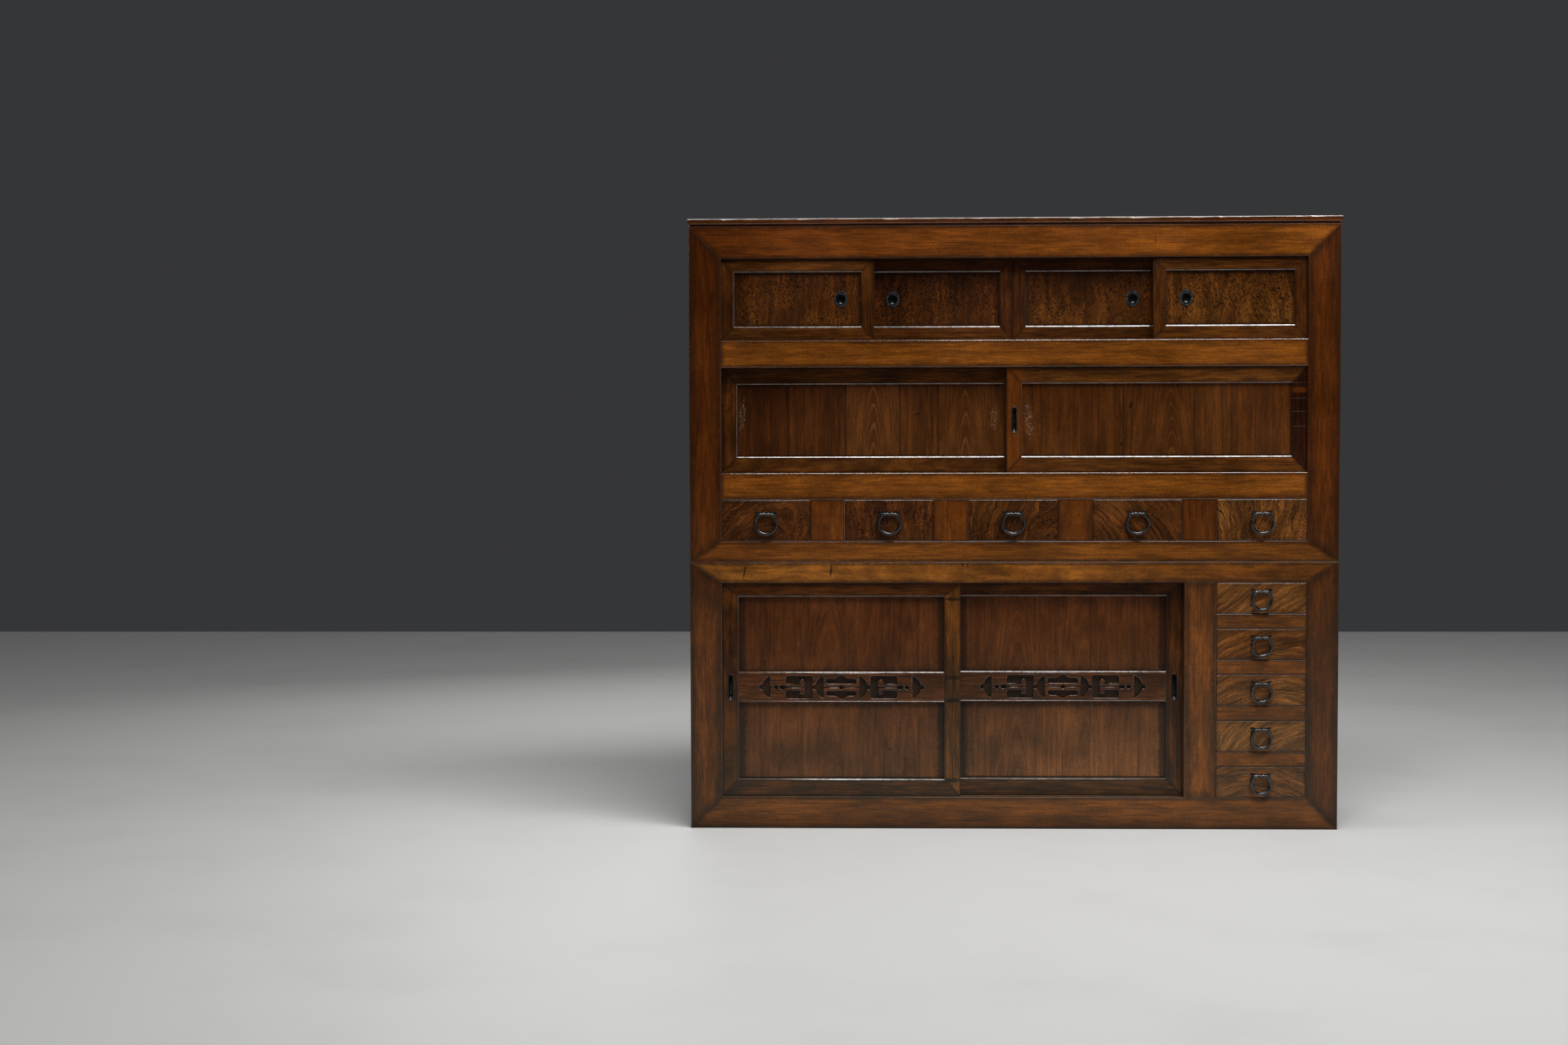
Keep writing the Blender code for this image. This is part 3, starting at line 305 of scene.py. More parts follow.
def aged_lacquer():
    """A century of use on lacquered wood: clouding, smoke, specks, grimy borders that are also painted shade, arrises
    rubbed pale that are also painted highlight, dust with a painted floor reflection near the foot, and darker towards
    the bottom.
    """
    group, given, out = node_group(
        "aged_lacquer",
        {"Colour": (0.1, 0.05, 0.02, 1.0), "Worn": 0.0, "Arris": 0.0, "Blotch": 0.2, "Rub": 0.6, "Polish": 0.9,
         "Specks": 0.6, "Grime": 0.3, "Dust": 0.62},
        {"Colour": "Color", "Roughness": "Float", "Height": "Float", "Polish": "Float"},
    )
    spot = add(group, "ShaderNodeTexCoord").outputs["Object"]
    cloud = noise(group, spot, 3.4, 4.0, 0.55)
    least = maths(group, "SUBTRACT", 1.0, given["Blotch"])
    most = maths(group, "ADD", 1.0, given["Blotch"])
    colour = mixed(group, 1.0, given["Colour"], spread(group, cloud, 0.32, 0.68, least, most), "MULTIPLY")
    grit = spread(group, noise(group, spot, 260.0, 3.0, 0.7), 0.30, 0.70, 0.80, 1.20)
    colour = mixed(group, 1.0, colour, grit, "MULTIPLY")
    smoke = maths(group, "MULTIPLY", spread(group, noise(group, spot, 11.0, 5.0, 0.6), 0.56, 0.80), given["Blotch"])
    colour = mixed(group, smoke, colour, SMOKE_AND_SHADE_BROWN)
    cells = add(group, "ShaderNodeTexVoronoi", {"Vector": spot, "Scale": 58.0})
    lot = add(group, "ShaderNodeSeparateXYZ", {0: cells.outputs["Color"]}).outputs[0]
    dot = spread(group, cells.outputs["Distance"], 0.04, 0.11, 1.0, 0.0)
    dot = maths(group, "MULTIPLY", dot, maths(group, "GREATER_THAN", lot, 0.68))
    dot = maths(group, "MULTIPLY", dot, spread(group, noise(group, spot, 7.0, 2.0), 0.42, 0.60))
    dot = maths(group, "MULTIPLY", dot, given["Specks"])
    colour = mixed(group, dot, colour, DENT_BLACK)
    chafe = noise(group, spot, 48.0, 5.0, 0.65)
    # Soiling along the borders, laid by the near-edge mask: real soiling, and painted shade where parts meet and where
    # edges shade the faces.
    patchiness = spread(group, chafe, 0.25, 0.60, 0.5, 1.0)
    edge_dirt_and_shade = maths(group, "MULTIPLY", spread(group, given["Worn"], 0.0, 0.9), patchiness)
    colour = mixed(group, maths(group, "MULTIPLY", edge_dirt_and_shade, given["Grime"]), colour, SMOKE_AND_SHADE_BROWN)
    shine = maths(group, "MULTIPLY", given["Polish"], spread(group, chafe, 0.30, 0.62, 0.45, 1.0))
    group.links.new(maths(group, "MULTIPLY", given["Arris"], shine), out["Polish"])
    # Arrises paled as rubbed wood, by how much each one shines: wear, and painted highlight on the edges that face the
    # lights.
    rubbed = maths(group, "MULTIPLY", spread(group, chafe, 0.40, 0.62), given["Arris"])
    rubbed = maths(group, "MULTIPLY", rubbed, given["Rub"])
    bare = mixed(group, 1.0, mixed(group, 1.0, colour, BARE_AND_HIGHLIGHT_GAIN, "MULTIPLY"), BARE_AND_HIGHLIGHT_LIFT, "ADD")
    colour = mixed(group, rubbed, colour, bare)
    height = add(group, "ShaderNodeSeparateXYZ", {0: spot}).outputs[2]
    # Near the foot a grey is added up to the Dust height: dust, and painted reflection of the floor's light.
    colour = mixed(group, spread(group, height, 0.10, given["Dust"], 1.0, 0.0), colour, FOOT_DUST_AND_SHEEN, "ADD")
    # Darker towards the bottom, over the lowest six centimetres.
    colour = mixed(group, 1.0, colour, spread(group, height, 0.0, 0.06, 0.55, 1.0), "MULTIPLY")
    group.links.new(colour, out["Colour"])
    group.links.new(spread(group, cloud, 0.3, 0.7, 0.29, 0.40), out["Roughness"])
    ripple = maths(group, "MULTIPLY", noise(group, spot, 160.0, 2.0), 0.25)
    group.links.new(maths(group, "SUBTRACT", ripple, maths(group, "MULTIPLY", dot, 1.4)), out["Height"])
    return group


GROWTH_RINGS = growth_rings()
BURR_FIGURE = burr_figure()
AGED_LACQUER = aged_lacquer()


def wood(name, pale, dark, ring_width, line=0.6, wander=0.012, rings=1.0, band=0.12, fibre=0.18, streak=0.16,
         cloud=0.22, pore=0.3, burr=None, marks=(), soot_and_shade=(), handled=(), scratches=(), scuffs=(), grain_at=None,
         **age):
    """Lacquered wood. Boards carry their own grain; grain_at moves the pith off a board that has none.

    The pale colour is the ground and the dark one that of the lines; burr gives the fleck's own two colours.
    """
    material, tree, shader = new_material(name)
    spot = add(tree, "ShaderNodeTexCoord").outputs["Object"]
    if grain_at is None:
        grain = add(tree, "ShaderNodeAttribute", attribute_name="grain").outputs["Vector"]
        tone = add(tree, "ShaderNodeAttribute", attribute_name="tone").outputs["Fac"]
        curl = add(tree, "ShaderNodeAttribute", attribute_name="curl").outputs["Fac"]
        worn = add(tree, "ShaderNodeAttribute", attribute_name="worn").outputs["Fac"]
        arris = add(tree, "ShaderNodeAttribute", attribute_name="arris").outputs["Fac"]
        drawn = add(tree, "ShaderNodeAttribute", attribute_name="figure").outputs["Fac"]
    else:
        grain = add(tree, "ShaderNodeMapping", {"Vector": spot, "Location": grain_at}).outputs[0]
        tone, curl, drawn = 1.0, 0.0, 1.0
    sway = maths(tree, "MULTIPLY", curl, CURL_REACH)
    sockets = {"Grain": grain, "Ring Width": ring_width, "Line": line, "Wander": wander, "Curl": sway}
    figure = add(tree, "ShaderNodeGroup", node_tree=GROWTH_RINGS)
    for key, value in sockets.items():
        if isinstance(value, bpy.types.NodeSocket):
            tree.links.new(value, figure.inputs[key])
        else:
            figure.inputs[key].default_value = value
    lines = maths(tree, "MULTIPLY", figure.outputs["Ring"], maths(tree, "MULTIPLY", drawn, rings))
    colour = mixed(tree, lines, pale, dark)
    colour = mixed(tree, maths(tree, "MULTIPLY", figure.outputs["Pore"], pore), colour, dark)
    if burr:
        flecks = add(tree, "ShaderNodeGroup", node_tree=BURR_FIGURE)
        tree.links.new(grain, flecks.inputs["Grain"])
        tree.links.new(curl, flecks.inputs["Share"])
        mottled = mixed(tree, flecks.outputs["Fleck"], burr[1], burr[0])
        colour = mixed(tree, flecks.outputs["Share"], colour, mottled)
    for title, depth in (("Band", band), ("Fibre", fibre), ("Streak", streak), ("Cloud", cloud)):
        shade = spread(tree, figure.outputs[title], 0.0, 1.0, 1.0 - depth, 1.0 + depth)
        colour = mixed(tree, 1.0, colour, shade, "MULTIPLY")
    depths = {i: maths(tree, "POWER", tone, power) for i, power in enumerate(TONE_DEPTH)}
    toned = add(tree, "ShaderNodeCombineXYZ", depths).outputs[0]
    colour = mixed(tree, 1.0, colour, toned, "MULTIPLY")
    colour = marked(tree, spot, colour, handled, HANDLED_RED, 0.55)
    colour = marked(tree, spot, colour, scratches, SCRATCH_GREY, 0.65)
    colour = marked(tree, spot, colour, marks, DENT_BLACK)
    # The marks laid here in smoke brown are painted shade and painted shadow: along panel feet and sides and behind the
    # pierced rails.
    colour = marked(tree, spot, colour, soot_and_shade, SMOKE_AND_SHADE_BROWN)
    colour = marked(tree, spot, colour, scuffs, SCUFF_WHITE, speckled=True)
    aged = add(tree, "ShaderNodeGroup", node_tree=AGED_LACQUER)
    tree.links.new(colour, aged.inputs["Colour"])
    if grain_at is None:
        tree.links.new(worn, aged.inputs["Worn"])
        tree.links.new(arris, aged.inputs["Arris"])
    for key, value in age.items():
        aged.inputs[key.capitalize()].default_value = value
    tree.links.new(aged.outputs["Colour"], shader.inputs["Base Color"])
    tree.links.new(aged.outputs["Roughness"], shader.inputs["Roughness"])
    tree.links.new(aged.outputs["Polish"], shader.inputs["Coat Weight"])
    shader.inputs["Coat Roughness"].default_value = POLISH_ROUGHNESS
    shader.inputs["Coat IOR"].default_value = POLISH_IOR
    relief = maths(tree, "MULTIPLY", figure.outputs["Fibre"], 0.35)
    relief = maths(tree, "SUBTRACT", relief, maths(tree, "MULTIPLY", figure.outputs["Pore"], 0.4))
    relief = maths(tree, "ADD", relief, aged.outputs["Height"])
    bump = add(tree, "ShaderNodeBump", {"Strength": 0.30, "Distance": 0.0004, "Height": relief})
    tree.links.new(bump.outputs[0], shader.inputs["Normal"])
    shader.inputs["Specular IOR Level"].default_value = LACQUER_GLOSS
    return material


def marked(tree, spot, colour, marks, stain, depth=0.8, speckled=False):
    """Stains and painted shade seen from the front, each as (x, z, half width, half height, lean in degrees), or specks
    instead.
    """
    specks = spread(tree, noise(tree, spot, 420.0, 2.0), 0.60, 0.66) if speckled else 1.0
    for x, z, half_width, half_height, lean in marks:
        reach = (half_width, 10.0, half_height)
        turn = (0.0, math.radians(lean), 0.0)
        sockets = {"Vector": spot, "Location": (x, 0.0, z), "Rotation": turn, "Scale": reach}
        local = add(tree, "ShaderNodeMapping", sockets, vector_type="TEXTURE").outputs[0]
        off = add(tree, "ShaderNodeVectorMath", {0: local}, operation="LENGTH").outputs["Value"]
        off = maths(tree, "ADD", off, maths(tree, "MULTIPLY", noise(tree, spot, 90.0, 3.0), 0.8))
        share = maths(tree, "MULTIPLY", spread(tree, off, 0.9, 1.5, depth, 0.0), specks)
        colour = mixed(tree, share, colour, stain)
    return colour


def round_over(shape, edges, width, segments):
    if width > 0.0 and edges:
        bmesh.ops.bevel(shape, geom=edges, offset=width, offset_type="OFFSET", segments=segments,
                        profile=0.5, affect="EDGES", clamp_overlap=True)
        shape.normal_update()


def lies_in(normal, flats):
    return any(normal.dot(flat) > 0.9995 for flat in flats)


def cut(mesh, cutter):
    """A mesh less a closed cutter, as a new mesh."""
    objects = [bpy.data.objects.new("cut", data) for data in (mesh, cutter)]
    for item in objects:
        bpy.context.collection.objects.link(item)
    boolean = objects[0].modifiers.new("cut", "BOOLEAN")
    boolean.operation = "DIFFERENCE"
    boolean.solver = "EXACT"
    boolean.object = objects[1]
    graph = bpy.context.evaluated_depsgraph_get()
    result = bpy.data.meshes.new_from_object(objects[0].evaluated_get(graph))
    for item in objects:
        bpy.data.objects.remove(item, do_unlink=True)
    return result


def timber(rings, axis, pith=None, tone=(1.0, 1.0), curl=0.0, figure=1.0, arris=FRAME_ARRIS, end_arris=0.0004,
           border=0.012, shine=0.3, cutter=None):
    """One board skinned over end outlines, with eased arrises, its own grain and a mask of its borders, which darken as
    soiling and as painted shade.

    Its tone runs from its lower or left end to the other one, and shine sets how glossy its arrises are and how pale
    they are painted, as wear and as painted highlight.
    """
    shape = bmesh.new()
    loops = [[shape.verts.new(point) for point in ring] for ring in rings]
    count = len(loops[0])
    ends = [shape.faces.new(loops[0]), shape.faces.new(loops[-1][::-1])]
    for here, there in zip(loops, loops[1:]):
        for i in range(count):
            j = (i + 1) % count
            shape.faces.new((here[j], here[i], there[i], there[j]))
    bmesh.ops.recalc_face_normals(shape, faces=shape.faces)
    shape.normal_update()
    flats = [face.normal.copy() for face in shape.faces]
    end_flats = [face.normal.copy() for face in ends]
    end_planes = [(face.calc_center_median(), face.normal.copy()) for face in ends]
    long_edges = [edge for edge in shape.edges if not any(face in ends for face in edge.link_faces)]
    round_over(shape, long_edges, arris, ARRIS_STEPS)
    end_edges = {edge for face in shape.faces if lies_in(face.normal, end_flats) for edge in face.edges}
    round_over(shape, list(end_edges), end_arris, 1)
    worn = shape.verts.layers.float.new("worn")
    for vertex in shape.verts:
        vertex[worn] = 1.0
    wide = []
    for face in shape.faces:
        breadth = 2.0 * face.calc_area() / max(face.calc_perimeter(), 1e-9)
        if len(face.verts) == 4 and lies_in(face.normal, flats) and breadth > 1.2 * border:
            wide.append(face)
    bmesh.ops.inset_individual(shape, faces=wide, thickness=border, use_even_offset=True)
    for face in wide:
        for vertex in face.verts:
            vertex[worn] = 0.0
    mesh = bpy.data.meshes.new("board")
    shape.to_mesh(mesh)
    shape.free()
    if cutter:
        mesh = cut(mesh, cutter)
    axis = Vector(axis).normalized()
    side = axis.orthogonal().normalized()
    third = axis.cross(side)
    if pith is None:
        middle = sum((vertex.co for vertex in mesh.vertices), Vector()) / len(mesh.vertices)
        turn = chance.uniform(0.0, 2.0 * math.pi)
        away = chance.uniform(0.10, 0.26)
        pith = middle + away * (math.cos(turn) * side + math.sin(turn) * third)
        pith += axis * chance.uniform(-20.0, 20.0)
    off = [vertex.co - Vector(pith) for vertex in mesh.vertices]
    at_end = []
    for vertex in mesh.vertices:
        depths = [abs((vertex.co - place).dot(normal)) for place, normal in end_planes]
        at_end.append(min(depths) < 0.4 * end_arris)
    arrises = []
    for face in mesh.polygons:
        slanted = max(abs(part) for part in face.normal) < ALONG_AN_AXIS
        arrises.append(shine if slanted and not any(at_end[i] for i in face.vertices) else 0.0)
    run = max(range(3), key=lambda i: abs(axis[i]))
    places = [vertex.co[run] for vertex in mesh.vertices]
    start, length = min(places), max(places) - min(places)
    return {
        "points": [vertex.co[:] for vertex in mesh.vertices],
        "faces": [tuple(face.vertices) for face in mesh.polygons],
        "smooth": [not lies_in(face.normal, flats) for face in mesh.polygons],
        "worn": [value.value for value in mesh.attributes["worn"].data],
        "arris": arrises,
        "grain": [(place.dot(axis), place.dot(side), place.dot(third)) for place in off],
        "tone": [tone[0] + (tone[1] - tone[0]) * (place - start) / length for place in places],
        "curl": curl,
        "figure": figure,
    }


def assemble(name, boards):
    """Join boards into one mesh and keep what each vertex knows about its board."""
    points, faces, smooth = [], [], []
    values = {"grain": [], "tone": [], "curl": [], "figure": [], "worn": [], "arris": []}
    for board in boards:
        first = len(points)
        points += board["points"]
        faces += [tuple(first + i for i in face) for face in board["faces"]]
        smooth += board["smooth"]
        for key in ("worn", "tone", "arris"):
            values[key] += board[key]
        for grain in board["grain"]:
            values["grain"] += grain
        for key in ("curl", "figure"):
            values[key] += [board[key]] * len(board["points"])
    mesh = bpy.data.meshes.new(name)
    mesh.from_pydata(points, [], faces)
    mesh.polygons.foreach_set("use_smooth", smooth)
    mesh.attributes.new("grain", "FLOAT_VECTOR", "POINT").data.foreach_set("vector", values["grain"])
    for key in ("tone", "curl", "figure", "worn"):
        mesh.attributes.new(key, "FLOAT", "POINT").data.foreach_set("value", values[key])
    mesh.attributes.new("arris", "FLOAT", "FACE").data.foreach_set("value", values["arris"])
    return mesh


def put(name, mesh, material, body, slot, *stands_for):
    """Put a finished mesh in the scene as a piece of the object."""
    piece = bpy.data.objects.new(name, mesh)
    bpy.context.collection.objects.link(piece)
    mesh.materials.clear()
    mesh.materials.append(material)
    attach(piece, body)
    if stands_for:
        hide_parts(*stands_for)
    return piece


def board(low, high, along, axis=None, **settings):
    """A square-edged board between two corners, long along one axis, with its grain that way or as given."""
    corners = [(low[i], high[i]) for i in range(3)]
    run = "XYZ".index(along)
    first, second = [i for i in range(3) if i != run]
    rings = []
    for end in corners[run]:
        ring = []
        for a, b in ((0, 0), (1, 0), (1, 1), (0, 1)):
            point = [0.0, 0.0, 0.0]
            point[run] = end
            point[first] = corners[first][a]
            point[second] = corners[second][b]
            ring.append(tuple(point))
        rings.append(ring)
    grain = [0.0, 0.0, 0.0]
    grain[run] = 1.0
    return timber(rings, axis or grain, **settings)


def rail_section(y0, y1, z0, z1, tracks_above, tracks_below):
    """End view of a rail as (y, z), with shallow grooves where doors stand on it and deep ones above doors."""
    over, into = WORN_FACET
    above = [(y0, z1 - over), (y0 + into, z1)]
    below = [(y0, z0 + over), (y0 + into, z0)]
    for middle in TRACKS:
        near, far = middle - TRACK_HALF, middle + TRACK_HALF
        if tracks_above:
            above += [(near, z1), (near, z1 - SILL_GROOVE), (far, z1 - SILL_GROOVE), (far, z1)]
        if tracks_below:
            below += [(near, z0), (near, z0 + HEAD_GROOVE), (far, z0 + HEAD_GROOVE), (far, z0)]
    return above + [(y1, z1), (y1, z0)] + below[::-1]


def rail(y0, y1, z0, z1, left, right, tracks_above=False, tracks_below=False, axis=(1, 0, 0), **settings):
    """A rail whose ends run from left[0] and right[0] at its foot to left[1] and right[1] at its top."""
    section = rail_section(y0, y1, z0, z1, tracks_above, tracks_below)
    rings = []
    for at_foot, at_top in (left, right):
        rings.append([(at_foot + (at_top - at_foot) * (z - z0) / (z1 - z0), y, z) for y, z in section])
    return timber(rings, axis, **settings)


def stile(y0, y1, outer, inner, foot, head, **settings):
    """A stile whose ends run from foot[0] and head[0] on its outer edge to foot[1] and head[1] inside."""
    over, into = math.copysign(WORN_FACET[0], inner - outer), WORN_FACET[1]
    section = [(outer, y0 + into), (outer + over, y0), (inner - over, y0), (inner, y0 + into), (inner, y1), (outer, y1)]
    rings = []
    for at_outer, at_inner in (foot, head):
        slope = (at_inner - at_outer) / (inner - outer)
        rings.append([(x, y, at_outer + slope * (x - outer)) for x, y in section])
    return timber(rings, (0, 0, 1), **settings)


def mitred_surround(low, high, sill_rail, head_rail, tones, tracks_above):
    """The two outer rails and the two stiles of a face frame; tones are for sill, head, left and right."""
    half = high.x - HAIRLINE
    inside = high.x - STILE_WIDTH - HAIRLINE
    sill = low.z + sill_rail
    head = high.z - head_rail
    boards = [
        rail(low.y, high.y, low.z, sill, (-half, -inside), (half, inside), tracks_above, tone=tones[0], shine=0.12),
        rail(low.y, high.y, head, high.z, (-inside, -half), (inside, half), tracks_below=True, tone=tones[1],
             shine=0.12),
    ]
    for sign, tone in ((-1, tones[2]), (1, tones[3])):
        outer = sign * high.x
        inner = sign * (high.x - STILE_WIDTH)
        foot = (low.z + HAIRLINE, sill + HAIRLINE)
        top = (high.z - HAIRLINE, head - HAIRLINE)
        boards.append(stile(low.y, high.y, outer, inner, foot, top, tone=tone, border=STILE_BORDER))
    return boards


TRACKS = [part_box(f"top_door_{number}_frame")[0].y + TRACK_MIDDLE for number in (1, 2)]
lower_low, lower_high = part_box("lower_face_frame")
lower_sill = lower_low.z + LOWER_SILL_RAIL
lower_head = lower_high.z - LOWER_HEAD_RAIL
lower_drawers = [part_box(f"lower_drawer_{number}") for number in range(1, 6)]
stack_left = lower_drawers[0][0].x - DRAWER_GAP
stack_right = lower_drawers[0][1].x + DRAWER_GAP
lower_boards = mitred_surround(
    lower_low, lower_high, LOWER_SILL_RAIL, LOWER_HEAD_RAIL, LOWER_TONES, True
)
divider_foot = (lower_sill + HAIRLINE, lower_sill + HAIRLINE)
divider_top = (lower_head - HAIRLINE, lower_head - HAIRLINE)
lower_boards.append(
    stile(lower_low.y, lower_high.y, stack_left - LOWER_DIVIDER, stack_left, divider_foot, divider_top,
          tone=DIVIDER_TONE, border=STILE_BORDER)
)
for above, below in zip(lower_drawers, lower_drawers[1:]):
    rail_ends = [(x, x) for x in (stack_left + HAIRLINE, stack_right - HAIRLINE)]
    shade = chance.uniform(0.68, 0.86)
    lower_boards.append(rail(lower_low.y, lower_high.y, below[1].z + DRAWER_GAP, above[0].z - DRAWER_GAP,
                             *rail_ends, tone=(shade, shade), border=0.005))
SCORCH_MARKS = (
    (-0.756, 0.727, 0.0035, 0.021, 9.0),
    (-0.512, 0.731, 0.0045, 0.020, 7.0),
    (-0.142, 0.749, 0.0050, 0.007, 0.0),
    (-0.128, 0.747, 0.0020, 0.008, 0.0),
    (0.690, 0.272, 0.0020, 0.018, 0.0),
    (0.395, 1.654, 0.0015, 0.011, 0.0),
)
FRAME_WOOD = wood(
    "frame_wood", FRAME_PALE, FRAME_DARK, 0.0042, wander=0.030, rings=0.45, cloud=0.24, fibre=0.22, streak=0.16,
    pore=0.75, marks=SCORCH_MARKS, specks=1.0, grime=0.70, blotch=0.20, dust=1.0,
)
put("lower_frame_boards", assemble("lower_frame_boards", lower_boards), FRAME_WOOD, "case", "frame_wood",
    "lower_face_frame")

# The upper face frame. Made like the lower one, with two rails that carry the doors, a row of short stiles
# between the five drawers, and a thinner foot rail that sits on the lower section's head rail.
UPPER_FOOT_RAIL = 0.059
UPPER_HEAD_RAIL = 0.091
UPPER_LOW_RAIL = 0.075
UPPER_HIGH_RAIL = 0.0755
MIDDLE_OPENING = 0.297
# Board tones and their runs from end to end are fitted to measured brightness: partly the wood's own colour, partly
# painted light and shade from how the light falls across the front.
UPPER_TONES = ((0.84, 1.04), (0.42, 0.90), (0.56, 0.27), (0.52, 0.34))   # sill, head, left and right
UPPER_RAIL_TONES = ((0.89, 1.00), (0.90, 0.94))   # below and above the middle doors
upper_low, upper_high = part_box("upper_face_frame")
upper_drawers = [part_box(f"upper_drawer_{number}") for number in range(1, 6)]
drawer_sill = upper_low.z + UPPER_FOOT_RAIL
drawer_head = upper_drawers[0][1].z + DRAWER_GAP
middle_sill = drawer_head + UPPER_LOW_RAIL
middle_head = middle_sill + MIDDLE_OPENING
upper_boards = mitred_surround(
    upper_low, upper_high, UPPER_FOOT_RAIL, UPPER_HEAD_RAIL, UPPER_TONES, False
)
inside_right = upper_high.x - STILE_WIDTH - HAIRLINE
upper_rails = ((drawer_head, middle_sill, False), (middle_head, middle_head + UPPER_HIGH_RAIL, True))
for (z0, z1, below), tone in zip(upper_rails, UPPER_RAIL_TONES):
    ends = ((-inside_right, -inside_right), (inside_right, inside_right))
    upper_boards.append(rail(upper_low.y, upper_high.y, z0, z1, *ends, True, below, tone=tone, shine=0.9))
for left, right in zip(upper_drawers, upper_drawers[1:]):
    stile_ends = [(z, z) for z in (drawer_sill + HAIRLINE, drawer_head - HAIRLINE)]
    shade = chance.uniform(0.52, 0.68)
    upper_boards.append(stile(upper_low.y, upper_high.y, left[1].x + DRAWER_GAP, right[0].x - DRAWER_GAP,
                              *stile_ends, tone=(shade, shade), border=0.006))
put("upper_frame_boards", assemble("upper_frame_boards", upper_boards), FRAME_WOOD, "case", "frame_wood",
    "upper_face_frame")

# The carcass behind the frames. Each side is three upright planks, each back a row of thin planks nailed on,
# all of plain stained cedar. The shelves, floors and drawer guides inside are bare boards with a dry surface.
SIDE_PLANKS = 3
BACK_PLANKS = 11
PLANK_ARRIS = 0.0014
CARCASS_PALE = (0.110, 0.046, 0.016, 1.0)
CARCASS_DARK = (0.052, 0.019, 0.0065, 1.0)
INSIDE_PALE = (0.235, 0.132, 0.062, 1.0)
INSIDE_DARK = (0.135, 0.066, 0.027, 1.0)
CARCASS_WOOD = wood("carcass_wood", CARCASS_PALE, CARCASS_DARK, 0.006, wander=0.030, fibre=0.25, band=0.2, rub=0.4,
                    grime=0.7)
INSIDE_WOOD = wood("inside_wood", INSIDE_PALE, INSIDE_DARK, 0.006, wander=0.030, grain_at=(3.0, 0.21, 0.12))


def planked(low, high, across, count, **settings):
    """Upright planks side by side, of unlike widths, along the axis that is named by its number."""
    cuts = [low[across]]
    step = (high[across] - low[across]) / count
    for i in range(1, count):
        cuts.append(low[across] + step * (i + chance.uniform(-0.16, 0.16)))
    cuts.append(high[across])
    planks = []
    for start, end in zip(cuts, cuts[1:]):
        plank_low, plank_high = list(low), list(high)
        plank_low[across] = start + (HAIRLINE if start > cuts[0] else 0.0)
        plank_high[across] = end - (HAIRLINE if end < cuts[-1] else 0.0)
        shade = chance.uniform(0.70, 1.18)
        planks.append(board(plank_low, plank_high, "Z", tone=(shade, shade), arris=PLANK_ARRIS, **settings))
    return planks


for section in ("lower", "upper"):
    for side in ("left", "right"):
        name = f"{section}_{side}_side"
        mesh = assemble(f"{name}_planks", planked(*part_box(name), 1, SIDE_PLANKS))
        put(f"{name}_planks", mesh, CARCASS_WOOD, "case", "carcass_wood", name)
    name = f"{section}_back"
    mesh = assemble(f"{name}_planks", planked(*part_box(name), 0, BACK_PLANKS, border=0.003))
    put(f"{name}_planks", mesh, CARCASS_WOOD, "case", "carcass_wood", name)
for name in ("lower_floor", "lower_drawer_rack", "lower_top_board", "upper_drawer_floor", "upper_dust_board",
             "upper_shelf"):
    inside_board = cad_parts[name].data
    inside_board.materials.clear()
    inside_board.materials.append(INSIDE_WOOD)

# The top. Three lacquered planks over a thin fillet strip that sits back from the frame and leaves a shadow line.
# The front edge is the most handled one: its upper arris is chipped and rubbed pale along its whole length, and the
# paling also stands in for a painted highlight.
TOP_BOARD = 0.016
FILLET_INSET = 0.0055             # from the board's edge to the fillet's
TOP_PLANKS = 3
EDGE_STATIONS = 180
EDGE_EASE = 0.0021                # the arris where it isn't chipped
EDGE_POLISH = (0.0, 0.0, 0.35, 0.0, 0.0, 0.0, 1.0, 0.3, 0.0, 0.0, 0.0, 0.0)   # of each face round the edge; it sets gloss and a paling that is wear and painted highlight
EDGE_LEAN = 0.6                   # how far it leans back for its height
CHIP_DEPTH = 0.0045
FOOT_BEAD = 0.0036                # a scratched bead along the foot of the edge


def chipped_plank(low, high, tone):
    """The front plank, with a bead along the foot of its edge and bites taken out of the upper arris."""
    ease = EDGE_EASE
    bite = 0.0
    rings = []
    for i in range(EDGE_STATIONS + 1):
        x = low[0] + (high[0] - low[0]) * i / EDGE_STATIONS
        if chance.random() < 0.10:
            bite = chance.uniform(0.2, 1.0) ** 2 * CHIP_DEPTH
        bite *= chance.uniform(0.45, 0.95)
        ease = 0.6 * ease + 0.4 * EDGE_EASE * chance.uniform(0.7, 1.6)
        back = ease + bite * chance.uniform(0.7, 1.3)
        drop = ease + 0.6 * bite
        rings.append([
            (x, low[1] + 0.0010, low[2]),
            (x, low[1], low[2] + 0.3 * FOOT_BEAD),
            (x, low[1], low[2] + 0.6 * FOOT_BEAD),
            (x, low[1] + 0.0012, low[2] + FOOT_BEAD),
            (x, low[1] + 0.0018, low[2] + FOOT_BEAD + 0.0004),
            (x, low[1] + 0.0006, low[2] + FOOT_BEAD + 0.0012),
            (x, low[1] + 0.0004, high[2] - drop),
            (x, low[1] + 0.0004 + EDGE_LEAN * drop, high[2] - 0.0003),
            (x, low[1] + 0.0008 + back, high[2]),
            (x, low[1] + 0.012, high[2]),
            (x, high[1], high[2]),
            (x, high[1], low[2]),
        ])
    plank = timber(rings, (1, 0, 0), tone=tone, arris=0.0, end_arris=0.0, border=1.0)
    worn = []
    for ring in rings:
        worn += [0.3, 0.6, 1.0, 0.95, 0.5, 0.3, 1.0, 1.0, 0.9, 0.0, 0.0, 0.0]
    plank["worn"] = worn
    plank["arris"] = [0.0, 0.0] + list(EDGE_POLISH) * EDGE_STATIONS
    return plank


